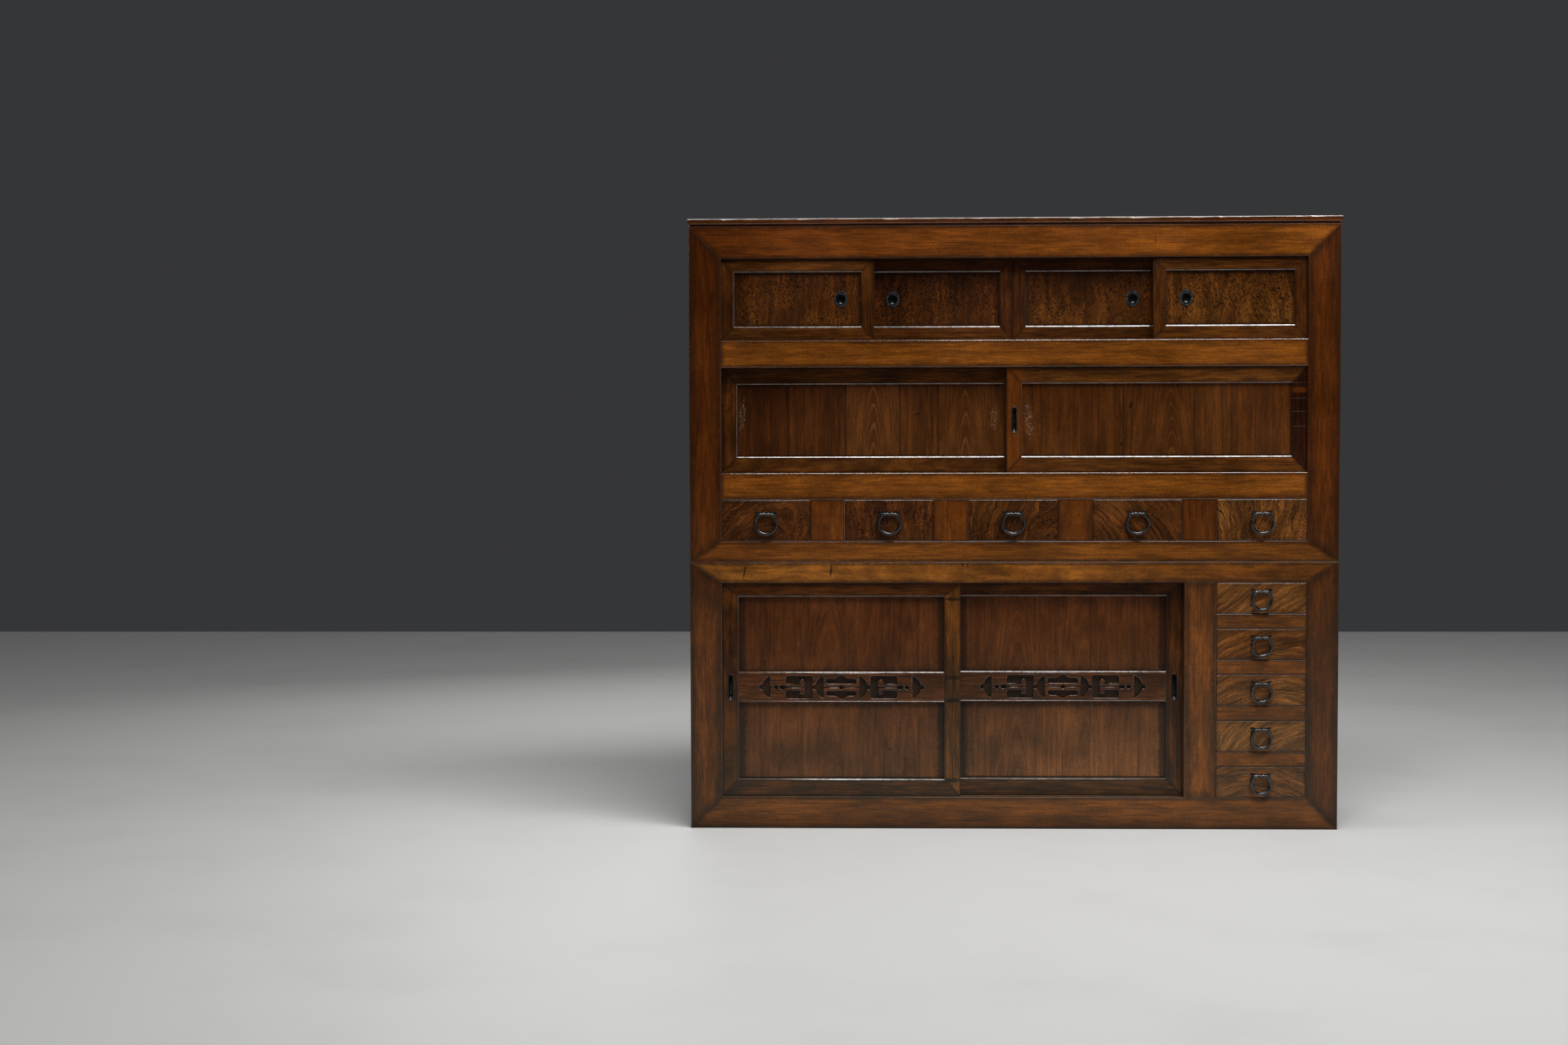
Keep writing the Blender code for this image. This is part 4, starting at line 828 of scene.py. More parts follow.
top_low, top_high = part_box("upper_top_board")
board_foot = top_high.z - TOP_BOARD
plank_step = (top_high.y - top_low.y) / TOP_PLANKS
front_high = (top_high.x, top_low.y + plank_step - HAIRLINE, top_high.z)
top_boards = [chipped_plank((top_low.x, top_low.y, board_foot), front_high, (0.46, 0.46))]
for i in range(1, TOP_PLANKS):
    plank_low = (top_low.x, top_low.y + i * plank_step + HAIRLINE, board_foot)
    plank_high = (top_high.x, top_low.y + (i + 1) * plank_step - HAIRLINE, top_high.z)
    shade = chance.uniform(0.55, 0.7)
    top_boards.append(board(plank_low, plank_high, "X", tone=(shade, shade)))
fillet_low = (top_low.x + FILLET_INSET, top_low.y + FILLET_INSET, top_low.z)
fillet_high = (top_high.x - FILLET_INSET, top_high.y - FILLET_INSET, board_foot)
top_boards.append(board(fillet_low, fillet_high, "X", tone=(0.6, 0.6), arris=0.0006))
put("top_planks", assemble("top_planks", top_boards), FRAME_WOOD, "case", "frame_wood", "upper_top_board")

# The door frames. Each sliding door is four mitred members of dark lacquered wood with an eased inner edge,
# grooved for a loose panel. A tongue runs along the foot and a taller one along the head, in the tracks.
TONGUE_FOOT = 0.0042              # the tongue's part of the frame's height, below
TONGUE_HEAD = 0.0095
TONGUE_EASE = 0.001
TONGUE_DEPTHS = (0.0065, 0.0135)  # from the door's front
PANEL_IN_GROOVE = 0.0077          # how far a panel reaches into the members
PANEL_SLACK = 0.0003
INNER_CHAMFER = (0.0027, 0.0017)  # over the member's face and into its depth
DOOR_ARRIS = 0.0005
DOOR_PALE = (0.068, 0.0204, 0.0022, 1.0)
DOOR_DARK = (0.042, 0.0112, 0.0010, 1.0)
# Dark bands across the left lower door's meeting stile: grooves rubbed into it, painted dark with the shade that lies
# in them.
STILE_GROOVE_BANDS = (
    (-0.170, 0.650, 0.030, 0.0060, 0.0),
    (-0.170, 0.428, 0.030, 0.0075, 0.0),
    (-0.170, 0.363, 0.030, 0.0075, 0.0),
    (-0.170, 0.136, 0.030, 0.0080, 0.0),
)
HANDLED_PATCHES = (
    (0.0035, 1.155, 0.034, 0.300, 0.0),
    (0.798, 1.236, 0.070, 0.009, 0.0),
)
STILE_SCRATCHES = (
    (0.798, 1.257, 0.070, 0.0011, 0.0),
    (0.798, 1.213, 0.070, 0.0014, 0.0),
    (0.798, 1.176, 0.070, 0.0014, 0.0),
    (0.798, 1.135, 0.070, 0.0011, 0.0),
)
PANEL_FOOT_SHADE = 0.0045         # half height of the painted shadow that lies along a panel's foot
PANEL_SIDE_SHADE = 0.024          # half width of the soiling and painted shade along its sides
DOOR_WOOD = wood("door_wood", DOOR_PALE, DOOR_DARK, 0.0036, wander=0.016, pore=0.6, fibre=0.28,
                 streak=0.26, cloud=0.34, marks=STILE_GROOVE_BANDS, handled=HANDLED_PATCHES,
                 scratches=STILE_SCRATCHES, specks=0.8, rub=0.75, grime=0.6)


def door_boxes(name):
    """Outer corners of a door without its tongues, and of the window between its members."""
    low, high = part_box(f"{name}_frame")
    panel_low, panel_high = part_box(f"{name}_panel")
    outer = (low.x, low.z + TONGUE_FOOT, high.x, high.z - TONGUE_HEAD)
    window = (panel_low.x + PANEL_IN_GROOVE, panel_low.z + PANEL_IN_GROOVE,
              panel_high.x - PANEL_IN_GROOVE, panel_high.z - PANEL_IN_GROOVE)
    return outer, window, (low.y, high.y), (panel_low.y, panel_high.y)


def foot_shade(name):
    """Painted shadow along the foot of a row of panels, as a mark."""
    window = door_boxes(name)[1]
    return ((0.0, window[1] + 0.001, 3.0, PANEL_FOOT_SHADE, 0.0),)


def side_shade(name):
    """Soiling and painted shade along both sides of a panel, as marks."""
    window = door_boxes(name)[1]
    middle = (window[1] + window[3]) / 2.0
    return tuple((x, middle, PANEL_SIDE_SHADE, 3.0, 0.0) for x in (window[0], window[2]))


def door_member(width, depths, panel, ends, place, axis, **settings):
    """One member: its section as (distance in from the outer edge, y), swept between two mitred ends."""
    front, back = depths
    groove = width - PANEL_IN_GROOVE - PANEL_SLACK
    section = [
        (0.0, front),
        (width - INNER_CHAMFER[0], front),
        (width, front + INNER_CHAMFER[1]),
        (width, panel[0] - PANEL_SLACK),
        (groove, panel[0] - PANEL_SLACK),
        (groove, panel[1] + PANEL_SLACK),
        (width, panel[1] + PANEL_SLACK),
        (width, back),
        (0.0, back),
    ]
    rings = []
    for outer_end, inner_end in ends:
        rings.append([place(w, y, outer_end + (inner_end - outer_end) * w / width) for w, y in section])
    return timber(rings, axis, arris=DOOR_ARRIS, end_arris=0.0003, border=0.006, **settings)


def door_frame(name, tones, cutters=(None, None)):
    """All of a door's frame; tones are for the left stile, right stile, head and foot, cutters for the stiles."""
    (x0, z0, x1, z1), (wx0, wz0, wx1, wz1), depths, panel = door_boxes(name)
    low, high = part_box(f"{name}_frame")
    upright = ((z0, wz0), (z1, wz1))
    level = ((x0, wx0), (x1, wx1))
    # Level members get more shine than uprights, so their arrises are paled more: wear, and painted highlight on the
    # edges that face the lights.
    boards = [
        door_member(wx0 - x0, depths, panel, upright, lambda w, y, end: (x0 + w, y, end), (0, 0, 1),
                    tone=(tones[0], tones[0]), shine=0.2, cutter=cutters[0]),
        door_member(x1 - wx1, depths, panel, upright, lambda w, y, end: (x1 - w, y, end), (0, 0, 1),
                    tone=(tones[1], tones[1]), shine=0.2, cutter=cutters[1]),
        door_member(z1 - wz1, depths, panel, level, lambda w, y, end: (end, y, z1 - w), (1, 0, 0),
                    tone=(tones[2], tones[2]), shine=1.0),
        door_member(wz0 - z0, depths, panel, level, lambda w, y, end: (end, y, z0 + w), (1, 0, 0),
                    tone=(tones[3], tones[3]), shine=1.0),
    ]
    for foot, top in ((low.z, z0), (z1, high.z)):
        strip_low = (x0 + TONGUE_EASE, depths[0] + TONGUE_DEPTHS[0], foot)
        strip_high = (x1 - TONGUE_EASE, depths[0] + TONGUE_DEPTHS[1], top)
        boards.append(board(strip_low, strip_high, "X", tone=(0.8, 0.8), arris=0.0006))
    mesh = assemble(f"{name}_members", boards)
    put(f"{name}_members", mesh, DOOR_WOOD, name, "door_wood", f"{name}_frame")


# The four small doors at the top. Their panels are single boards of burred zelkova with a tight swirling figure,
# each with an oval iron finger cup let into it: a beaded flange round a raised lip and a shallow bowl.
OVAL_FLANGE = (0.0195, 0.0235)
OVAL_BEADS = (0.0163, 0.0203)
OVAL_LIP = (0.0127, 0.0147)
OVAL_BOWL = (0.0108, 0.0128)
OVAL_DEPTH = 0.0075
BEAD_RADIUS = 0.00135
BEAD_COUNT = 38
CUP_SIDES = 48
BURL_PALE = (0.092, 0.0310, 0.0044, 1.0)
BURL_DARK = (0.022, 0.0060, 0.0009, 1.0)
BURL_FLECKS = ((0.176, 0.0640, 0.0094, 1.0), (0.018, 0.0038, 0.0003, 1.0))
BURL_TONES = ((0.70, 0.34), (0.51, 0.24), (0.74, 0.36), (0.94, 0.53))   # at the foot and the head of each panel; the darker head is painted shade under the head member
IRON_BLACK = (0.062, 0.061, 0.062, 1.0)
IRON_RUBBED = (0.170, 0.166, 0.162, 1.0)
SOOT_BLACK = (0.006, 0.006, 0.006, 1.0)
BURL_WOOD = wood("burl_wood", BURL_PALE, BURL_DARK, 0.0034, burr=BURL_FLECKS, soot_and_shade=foot_shade("top_door_1"),
                 band=0.24, cloud=0.38, rub=0.0, specks=0.2, grime=0.8)


def iron_patina():
    """Blackened iron: a mottled skin with grey metal where hands have rubbed it."""
    group, given, out = node_group(
        "iron_patina",
        {"Black": IRON_BLACK, "Rubbed": IRON_RUBBED, "Scale": 140.0, "Soot": 0.0},
        {"Colour": "Color", "Roughness": "Float", "Height": "Float"},
    )
    spot = add(group, "ShaderNodeTexCoord").outputs["Object"]
    fine = noise(group, spot, given["Scale"], 4.0, 0.6)
    broad = noise(group, spot, 22.0, 3.0)
    bare = maths(group, "MULTIPLY", spread(group, fine, 0.45, 0.72), spread(group, broad, 0.40, 0.65))
    colour = mixed(group, bare, given["Black"], given["Rubbed"])
    group.links.new(mixed(group, given["Soot"], colour, SOOT_BLACK), out["Colour"])
    dull = maths(group, "MULTIPLY", given["Soot"], 0.35)
    group.links.new(maths(group, "ADD", spread(group, fine, 0.25, 0.75, 0.12, 0.24), dull), out["Roughness"])
    group.links.new(fine, out["Height"])
    return group


def black_iron():
    material, tree, shader = new_material("black_iron")
    patina = add(tree, "ShaderNodeGroup", node_tree=iron_patina())
    soot_and_shade = add(tree, "ShaderNodeAttribute", attribute_name="soot_and_shade").outputs["Fac"]
    tree.links.new(soot_and_shade, patina.inputs["Soot"])
    tree.links.new(patina.outputs["Colour"], shader.inputs["Base Color"])
    tree.links.new(patina.outputs["Roughness"], shader.inputs["Roughness"])
    bump = add(tree, "ShaderNodeBump", {"Strength": 0.25, "Distance": 0.0003, "Height": patina.outputs["Height"]})
    tree.links.new(bump.outputs[0], shader.inputs["Normal"])
    shader.inputs["Metallic"].default_value = 0.9
    return material


def skin(name, rings, closed=False):
    """A smooth mesh over rings of equally many points, with flat ends unless the last ring joins the first."""
    shape = bmesh.new()
    loops = [[shape.verts.new(point) for point in ring] for ring in rings]
    pairs = list(zip(loops, loops[1:] + loops[:1]))
    for here, there in pairs if closed else pairs[:-1]:
        for i in range(len(here)):
            j = (i + 1) % len(here)
            shape.faces.new((here[i], here[j], there[j], there[i]))
    if not closed:
        shape.faces.new(loops[0])
        shape.faces.new(loops[-1])
    bmesh.ops.recalc_face_normals(shape, faces=shape.faces)
    mesh = bpy.data.meshes.new(name)
    shape.to_mesh(mesh)
    shape.free()
    mesh.shade_smooth()
    mesh.set_sharp_from_angle(angle=math.radians(38))
    return mesh


def oval(half_width, half_height):
    turns = [2.0 * math.pi * i / CUP_SIDES for i in range(CUP_SIDES)]
    return [(half_width * math.cos(a), half_height * math.sin(a)) for a in turns]


def finger_cup(name, outline, profile, centre, rim_soot=0.0):
    """Iron cup turned over an outline; the profile gives half width, half height and depth behind the surface."""
    rings = []
    soot_and_shade = []
    for half_width, half_height, depth in profile:
        edge = outline(half_width, half_height)
        rings.append([centre + Vector((x, depth, z)) for x, z in edge])
        black = 1.0 if depth > 0.0 else rim_soot
        soot_and_shade += [black if z > -0.9 * half_height else 0.0 for x, z in edge]
    mesh = skin(name, rings)
    mesh.attributes.new("soot_and_shade", "FLOAT", "POINT").data.foreach_set("value", soot_and_shade)
    return mesh


def bored(outline, half_width, half_height, centre, depth):
    """Closed cutter for the mortise behind a cup."""
    rings = []
    for y in (centre[1] - 0.01, centre[1] + depth):
        rings.append([(centre[0] + x, y, centre[2] + z) for x, z in outline(half_width, half_height)])
    return skin("mortise", rings)


def bead_row_tree():
    """Geometry nodes that thread round beads on a path; gives the tree and its inputs' identifiers."""
    tree = bpy.data.node_groups.new("bead_row", "GeometryNodeTree")
    tree.interface.new_socket("Path", in_out="INPUT", socket_type="NodeSocketGeometry")
    keys = {}
    for title, kind in (("Bead Radius", "Float"), ("Bead Count", "Int"), ("Finish", "Material")):
        socket = tree.interface.new_socket(title, in_out="INPUT", socket_type=f"NodeSocket{kind}")
        keys[title] = socket.identifier
    tree.interface.new_socket("Beads", in_out="OUTPUT", socket_type="NodeSocketGeometry")
    given = tree.nodes.new("NodeGroupInput").outputs
    path = add(tree, "GeometryNodeMeshToCurve", {"Mesh": given["Path"]})
    spaced = add(tree, "GeometryNodeCurveToPoints", {"Curve": path.outputs[0], "Count": given["Bead Count"]})
    one_bead = add(tree, "GeometryNodeMeshIcoSphere", {"Radius": given["Bead Radius"], "Subdivisions": 2})
    rounded = add(tree, "GeometryNodeSetShadeSmooth", {0: one_bead.outputs[0]})
    beads = add(tree, "GeometryNodeInstanceOnPoints", {"Points": spaced.outputs[0], "Instance": rounded.outputs[0]})
    solid = add(tree, "GeometryNodeRealizeInstances", {0: beads.outputs[0]})
    finished = add(tree, "GeometryNodeSetMaterial", {0: solid.outputs[0], "Material": given["Finish"]})
    tree.links.new(finished.outputs[0], tree.nodes.new("NodeGroupOutput").inputs[0])
    return tree, keys


def grown(name, points, edges, tree, keys, values):
    """A plain mesh grown by a geometry node tree on points and edges."""
    mesh = bpy.data.meshes.new(name)
    mesh.from_pydata(points, edges, [])
    carrier = bpy.data.objects.new(name, mesh)
    bpy.context.collection.objects.link(carrier)
    modifier = carrier.modifiers.new(name, "NODES")
    modifier.node_group = tree
    for title, value in values.items():
        modifier[keys[title]] = value
    graph = bpy.context.evaluated_depsgraph_get()
    made = bpy.data.meshes.new_from_object(carrier.evaluated_get(graph))
    bpy.data.objects.remove(carrier, do_unlink=True)
    return made


BLACK_IRON = black_iron()
BEAD_ROW, BEAD_KEYS = bead_row_tree()
OVAL_PROFILE = (
    (OVAL_BOWL[0] + 0.0010, OVAL_BOWL[1] + 0.0010, OVAL_DEPTH + 0.0010),
    (OVAL_BOWL[0] + 0.0010, OVAL_BOWL[1] + 0.0010, -0.0002),
    (OVAL_FLANGE[0] - 0.0004, OVAL_FLANGE[1] - 0.0004, -0.0002),
    (OVAL_FLANGE[0], OVAL_FLANGE[1], -0.0005),
    (OVAL_FLANGE[0] - 0.0004, OVAL_FLANGE[1] - 0.0004, -0.0009),
    (OVAL_LIP[0] + 0.0008, OVAL_LIP[1] + 0.0008, -0.0009),
    (OVAL_LIP[0], OVAL_LIP[1], -0.0019),
    (OVAL_LIP[0] - 0.0010, OVAL_LIP[1] - 0.0010, -0.0021),
    (OVAL_BOWL[0], OVAL_BOWL[1], -0.0012),
    (OVAL_BOWL[0] - 0.0004, OVAL_BOWL[1] - 0.0004, 0.0020),
    (OVAL_BOWL[0] - 0.0018, OVAL_BOWL[1] - 0.0018, OVAL_DEPTH - 0.0016),
    (OVAL_BOWL[0] - 0.0046, OVAL_BOWL[1] - 0.0046, OVAL_DEPTH - 0.0003),
    (OVAL_BOWL[0] * 0.2, OVAL_BOWL[1] * 0.2, OVAL_DEPTH),
)
# Tones of each door's left stile, right stile, head and foot, fitted to measured brightness: the darker heads of the
# two recessed doors, the second and third, are painted shade under the head rail.
TOP_DOOR_TONES = ((0.80, 0.92, 1.05, 1.0), (0.75, 0.62, 0.55, 1.0), (0.62, 0.75, 0.55, 1.0), (0.90, 0.72, 1.05, 1.05))
TOP_PITHS = ((-0.30, 0.05, 0.02), (-0.24, 0.05, -0.03), (0.10, 0.06, 0.09), (0.08, 0.03, -0.03))
for number, (tones, pith, tone) in enumerate(zip(TOP_DOOR_TONES, TOP_PITHS, BURL_TONES), start=1):
    name = f"top_door_{number}"
    door_frame(name, tones)
    panel_low, panel_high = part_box(f"{name}_panel")
    cup_low, cup_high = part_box(f"{name}_pull")
    centre = Vector(((cup_low.x + cup_high.x) / 2, panel_low.y, (cup_low.z + cup_high.z) / 2))
    mortise = bored(oval, OVAL_BOWL[0] + 0.0013, OVAL_BOWL[1] + 0.0013, centre, 0.02)
    heart = (panel_low + panel_high) / 2 + Vector(pith)
    panel = board(panel_low, panel_high, "Z", pith=heart, tone=tone, curl=1.0, arris=0.0005,
                  border=0.022, cutter=mortise)
    put(f"{name}_burl", assemble(f"{name}_burl", [panel]), BURL_WOOD, name, "burl", f"{name}_panel")
    cup = finger_cup(f"{name}_cup", oval, OVAL_PROFILE, centre)
    put(f"{name}_cup", cup, BLACK_IRON, name, "black_iron", f"{name}_pull")
    ring = [(centre.x + x, centre.y - 0.0009, centre.z + z) for x, z in oval(*OVAL_BEADS)]
    loop = [(i, (i + 1) % CUP_SIDES) for i in range(CUP_SIDES)]
    sizes = {"Bead Radius": BEAD_RADIUS, "Bead Count": BEAD_COUNT, "Finish": BLACK_IRON}
    beads = grown(f"{name}_cup_beads", ring, loop, BEAD_ROW, BEAD_KEYS, sizes)
    put(f"{name}_cup_beads", beads, BLACK_IRON, name, "black_iron")

# The two wide middle doors. Their panels are cedar planks glued edge to edge, some cut flat with a tall arched
# figure and some cut upright with close straight lines. The right door has a narrow iron slot pull in its stile.
SLOT_FLANGE = (0.008, 0.037)
SLOT_BOWL = (0.0045, 0.0335)
SLOT_DEPTH = 0.0090
CEDAR_GROUND = (0.061, 0.0170, 0.0020, 1.0)
CEDAR_LINES = (0.125, 0.0480, 0.0115, 1.0)
# Tone at a panel's foot and at its head: lighter below and darker above, as painted light and shade.
CEDAR_FADE = (1.18, 0.87)
CEDAR_SCUFFS = (
    (-0.762, 1.170, 0.010, 0.055, 4.0),
    (-0.052, 1.160, 0.011, 0.035, 0.0),
    (0.045, 1.150, 0.014, 0.055, -6.0),
)
CEDAR_KNOTS = (
    (-0.268, 1.172, 0.016, 0.0030, -20.0),
    (0.330, 1.195, 0.006, 0.0120, 24.0),
    (0.304, 1.085, 0.006, 0.0040, 0.0),
)
CEDAR_WOOD = wood(
    "cedar_wood", CEDAR_GROUND, CEDAR_LINES, 0.0031, 0.36, 0.018, pore=0.0, band=0.22, fibre=0.14, streak=0.10,
    cloud=0.26, rub=0.0,
    grime=0.6, marks=CEDAR_KNOTS, soot_and_shade=foot_shade("middle_door_left"), scuffs=CEDAR_SCUFFS,
)


def slot(half_width, half_height):
    """Round-ended upright slot."""
    straight = half_height - half_width
    steps = CUP_SIDES // 2
    edge = []
    for start, middle in ((0.0, straight), (math.pi, -straight)):
        for i in range(steps + 1):
            turn = start + math.pi * i / steps
            edge.append((half_width * math.cos(turn), middle + half_width * math.sin(turn)))
    return edge


def slot_pull(name, stile_front):
    """The slot pull of a door as its mesh and the cutter for its mortise."""
    low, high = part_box(f"{name}_pull")
    centre = Vector(((low.x + high.x) / 2, stile_front, (low.z + high.z) / 2))
    flange_x, flange_z = SLOT_FLANGE
    bowl_x, bowl_z = SLOT_BOWL
    profile = (
        (bowl_x + 0.0010, bowl_z + 0.0010, SLOT_DEPTH + 0.0010),
        (bowl_x + 0.0010, bowl_z + 0.0010, -0.0002),
        (flange_x - 0.0003, flange_z - 0.0003, -0.0002),
        (flange_x, flange_z, -0.0005),
        (flange_x - 0.0007, flange_z - 0.0007, -0.0011),
        (bowl_x + 0.0008, bowl_z + 0.0008, -0.0012),
        (bowl_x, bowl_z, -0.0006),
        (bowl_x - 0.0003, bowl_z - 0.0006, 0.0020),
        (bowl_x - 0.0009, bowl_z - 0.0030, SLOT_DEPTH - 0.0022),
        (bowl_x - 0.0022, bowl_z - 0.0065, SLOT_DEPTH - 0.0004),
        (bowl_x - 0.0036, bowl_z - 0.0120, SLOT_DEPTH),
    )
    mesh = finger_cup(f"{name}_slot", slot, profile, centre, 0.7)
    return mesh, bored(slot, bowl_x + 0.0013, bowl_z + 0.0013, centre, SLOT_DEPTH + 0.0014)


def plank_panel(name, material, border, fade, cuts, planks):
    """A panel of glued planks, cut at shares of the width.

    A plank is its pith's place from the plank's middle, as x and y, the lean of the grain out of the plank, its
    tone and how strong its lines are.
    """
    low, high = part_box(f"{name}_panel")
    edges = [low.x] + [low.x + (high.x - low.x) * share for share in cuts] + [high.x]
    boards = []
    for start, end, (x, y, lean, tone, figure) in zip(edges, edges[1:], planks):
        plank_low = (start + HAIRLINE, low.y, low.z)
        plank_high = (end - HAIRLINE, high.y, high.z)
        pith = Vector(((start + end) / 2 + x, low.y + y, (low.z + high.z) / 2))
        boards.append(board(plank_low, plank_high, "Z", (0.0, lean, 1.0), pith=pith, figure=figure,
                            tone=(tone * fade[0], tone * fade[1]), arris=0.0004, border=border))
    put(f"{name}_planks", assemble(f"{name}_planks", boards), material, name, "cedar", f"{name}_panel")


door_frame("middle_door_left", (0.85, 0.95, 0.93, 1.15))
plank_panel("middle_door_left", CEDAR_WOOD, 0.004, CEDAR_FADE, (0.20, 0.41, 0.61, 0.75), (
    (0.30, 0.03, 0.01, 0.64, 0.20), (0.16, 0.06, 0.02, 0.72, 0.45), (0.00, 0.030, 0.065, 1.0, 0.75),
    (0.14, 0.05, 0.0, 0.85, 0.7), (-0.02, 0.032, 0.050, 1.0, 0.65),
))
pull, mortise = slot_pull("middle_door_right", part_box("middle_door_right_frame")[0].y)
door_frame("middle_door_right", (1.50, 0.27, 1.24, 1.2), (mortise, None))
put("middle_door_right_slot", pull, BLACK_IRON, "middle_door_right", "black_iron", "middle_door_right_pull")
plank_panel("middle_door_right", CEDAR_WOOD, 0.004, CEDAR_FADE, (0.38, 0.64, 0.775), (
    (0.35, 0.03, 0.01, 0.95, 0.12), (0.035, 0.036, 0.08, 1.0, 0.50), (0.25, 0.04, 0.0, 1.0, 0.65),
    (0.30, 0.05, 0.02, 0.92, 0.30),
))

# The two lower doors. Plank panels like the middle ones, with a pierced and carved rail across the middle
# whose figure is sawn right through: an eye, fans, hooks and beads on one line, and two crested bars.
RAIL_SETBACK = 0.002
FIGURE = {
    "slit": 0.0016, "eye": 0.0063, "eye_to_fan": 0.050, "fan_height": 0.032, "fan_bulge": 0.024,
    "ball": 0.0065, "ball_sink": 0.0039, "ball_neck": 0.0055, "hook_length": 0.076, "hook_height": 0.0325,
    "hook_body": 0.0226, "hook_corner": 0.006, "tongue": 0.0086, "lobe": 0.0066, "lobe_sink": 0.0003,
    "bead_height": 0.0065, "bead_space": 0.0035, "fan_neck": 0.009, "bar_length": 0.043, "bar_low": 0.0098,
    "bar_height": 0.0148, "crest_rise": 0.0095, "crest_half": 0.0215,
}
BEAD_LENGTHS = (0.009, 0.006)
CARVED_EASE = 0.0013
CARVED_TONE = 0.78
CARVED_LIP = 0.0042               # plain strip along the rail's top and foot
CARVED_FACE = 0.95                # a normal this far to the front lies on the rail's face
LOWER_PALE = (0.101, 0.0310, 0.0068, 1.0)
LOWER_DARK = (0.058, 0.0158, 0.0032, 1.0)
# Tone at a panel's foot and at its head: lighter below and darker above, as painted light and shade.
LOWER_FADE = (1.34, 0.73)
# Painted shadow on the planks behind the pierced rail and just above and below it.
OPENWORK_SHADOW = ((0.000, 0.400, 3.0000, 0.0600, 0.0),)
LOWER_KNOTS = (
    (-0.700, 0.470, 0.0030, 0.0090, 20.0),
    (-0.345, 0.222, 0.0060, 0.0040, -20.0),
    (-0.302, 0.196, 0.0080, 0.0030, 30.0),
)
LOWER_PLANKS = wood(
    "lower_planks", LOWER_PALE, LOWER_DARK, 0.0050, 0.5, 0.012, pore=0.45, fibre=0.16, streak=0.10, cloud=0.20,
    blotch=0.34, rub=0.0, grime=0.15, marks=LOWER_KNOTS, soot_and_shade=(
        OPENWORK_SHADOW + foot_shade("lower_door_left") + side_shade("lower_door_left")
        + side_shade("lower_door_right")
    ),
)
CARVED_WOOD = wood("carved_wood", LOWER_PALE, LOWER_DARK, 0.0034, 0.5, 0.020, pore=0.7, fibre=0.34, streak=0.30,
                   cloud=0.34, rub=0.9, grime=0.3)
FIGURE_STEPS = 14


def arc(centre, radius, start, end, steps=FIGURE_STEPS):
    """Points from the start to the end angle, in degrees, both included."""
    turns = [math.radians(start + (end - start) * i / steps) for i in range(steps + 1)]
    return [(centre[0] + radius * math.cos(a), centre[1] + radius * math.sin(a)) for a in turns]


def fan(flat_at):
    """Upper half of a fan with its flat side inwards, its ball's centre and the angle where the ball starts."""
    size = FIGURE
    radius = (size["fan_height"] ** 2 + size["fan_bulge"] ** 2) / (2.0 * size["fan_bulge"])
    centre = flat_at + size["fan_bulge"] - radius
    ball_at = flat_at + size["fan_bulge"] + size["ball"] - size["ball_sink"]
    apart = ball_at - centre
    along = (radius ** 2 - size["ball"] ** 2 + apart ** 2) / (2.0 * apart)
    height = math.sqrt(radius ** 2 - along ** 2)
    tip_turn = math.degrees(math.atan2(size["fan_height"], flat_at - centre))
    meet_turn = math.degrees(math.atan2(height, along))
    ball_turn = math.degrees(math.atan2(height, along - apart))
    return [(flat_at, size["slit"])] + arc((centre, 0.0), radius, tip_turn, meet_turn), ball_at, ball_turn


def hook(inner_at):
    """Upper half of a hook: an arm with round corners and a lobe that curls in from the tongue below it."""
    size = FIGURE
    outer_at = inner_at + size["hook_length"]
    tip_at = inner_at + size["hook_body"]
    corner = size["hook_corner"]
    high = size["hook_height"] - corner
    edge = arc((inner_at + corner, high), corner, 180, 90, 6)
    edge += arc((outer_at - corner, high), corner, 90, 0, 6)
    edge += arc((outer_at - corner, size["tongue"] + corner), corner, 0, -90, 6)
    lobe = (tip_at + size["lobe"], size["tongue"] + size["lobe"] - size["lobe_sink"])
    dip = math.degrees(math.asin(1.0 - size["lobe_sink"] / size["lobe"]))
    edge += arc(lobe, size["lobe"], -dip, 180)
    edge.append((tip_at, size["slit"]))
    return edge, outer_at


def figure_outline():
    """The pierced figure's closed edge, mirrored to both sides and above and below its middle line."""
    size = FIGURE
    quarter = arc((0.0, 0.0), size["eye"], 90, math.degrees(math.asin(size["slit"] / size["eye"])))
    inner_fan, ball_at, ball_turn = fan(size["eye_to_fan"])
    ball_end = math.degrees(math.acos(size["ball_neck"] / size["ball"]))
    quarter += inner_fan + arc((ball_at, 0.0), size["ball"], ball_turn, ball_end)[1:]
    arm, at = hook(ball_at + size["ball_neck"])
    quarter += arm
    ease = math.degrees(math.asin(size["slit"] / size["bead_height"]))
    for half_length in BEAD_LENGTHS:
        ring = arc((0.0, 0.0), 1.0, 180 - ease, ease)
        quarter += [(at + half_length * (1.0 + x), size["bead_height"] * z) for x, z in ring]
        at += 2.0 * half_length + size["bead_space"]
    outer_fan, ball_at, ball_turn = fan(at - size["bead_space"] + size["fan_neck"])
    quarter += outer_fan + arc((ball_at, 0.0), size["ball"], ball_turn, 0)[1:]
    right = quarter + [(x, -z) for x, z in reversed(quarter[:-1])]
    return right + [(-x, z) for x, z in reversed(right[1:-1])]


def crest_bar():
    """Round-ended bar with an ogee crest."""
    size = FIGURE
    end = size["bar_height"] / 2.0
    reach = size["bar_length"] - end
    middle = size["bar_low"] + end
    crest = []
    for i in range(2 * FIGURE_STEPS + 1):
        x = size["crest_half"] * (1.0 - i / FIGURE_STEPS)
        swell = (1.0 + math.cos(math.pi * x / size["crest_half"])) / 2.0
        crest.append((x, size["bar_low"] + size["bar_height"] + size["crest_rise"] * swell))
    return arc((reach, middle), end, -90, 90) + crest + arc((-reach, middle), end, 90, 270)


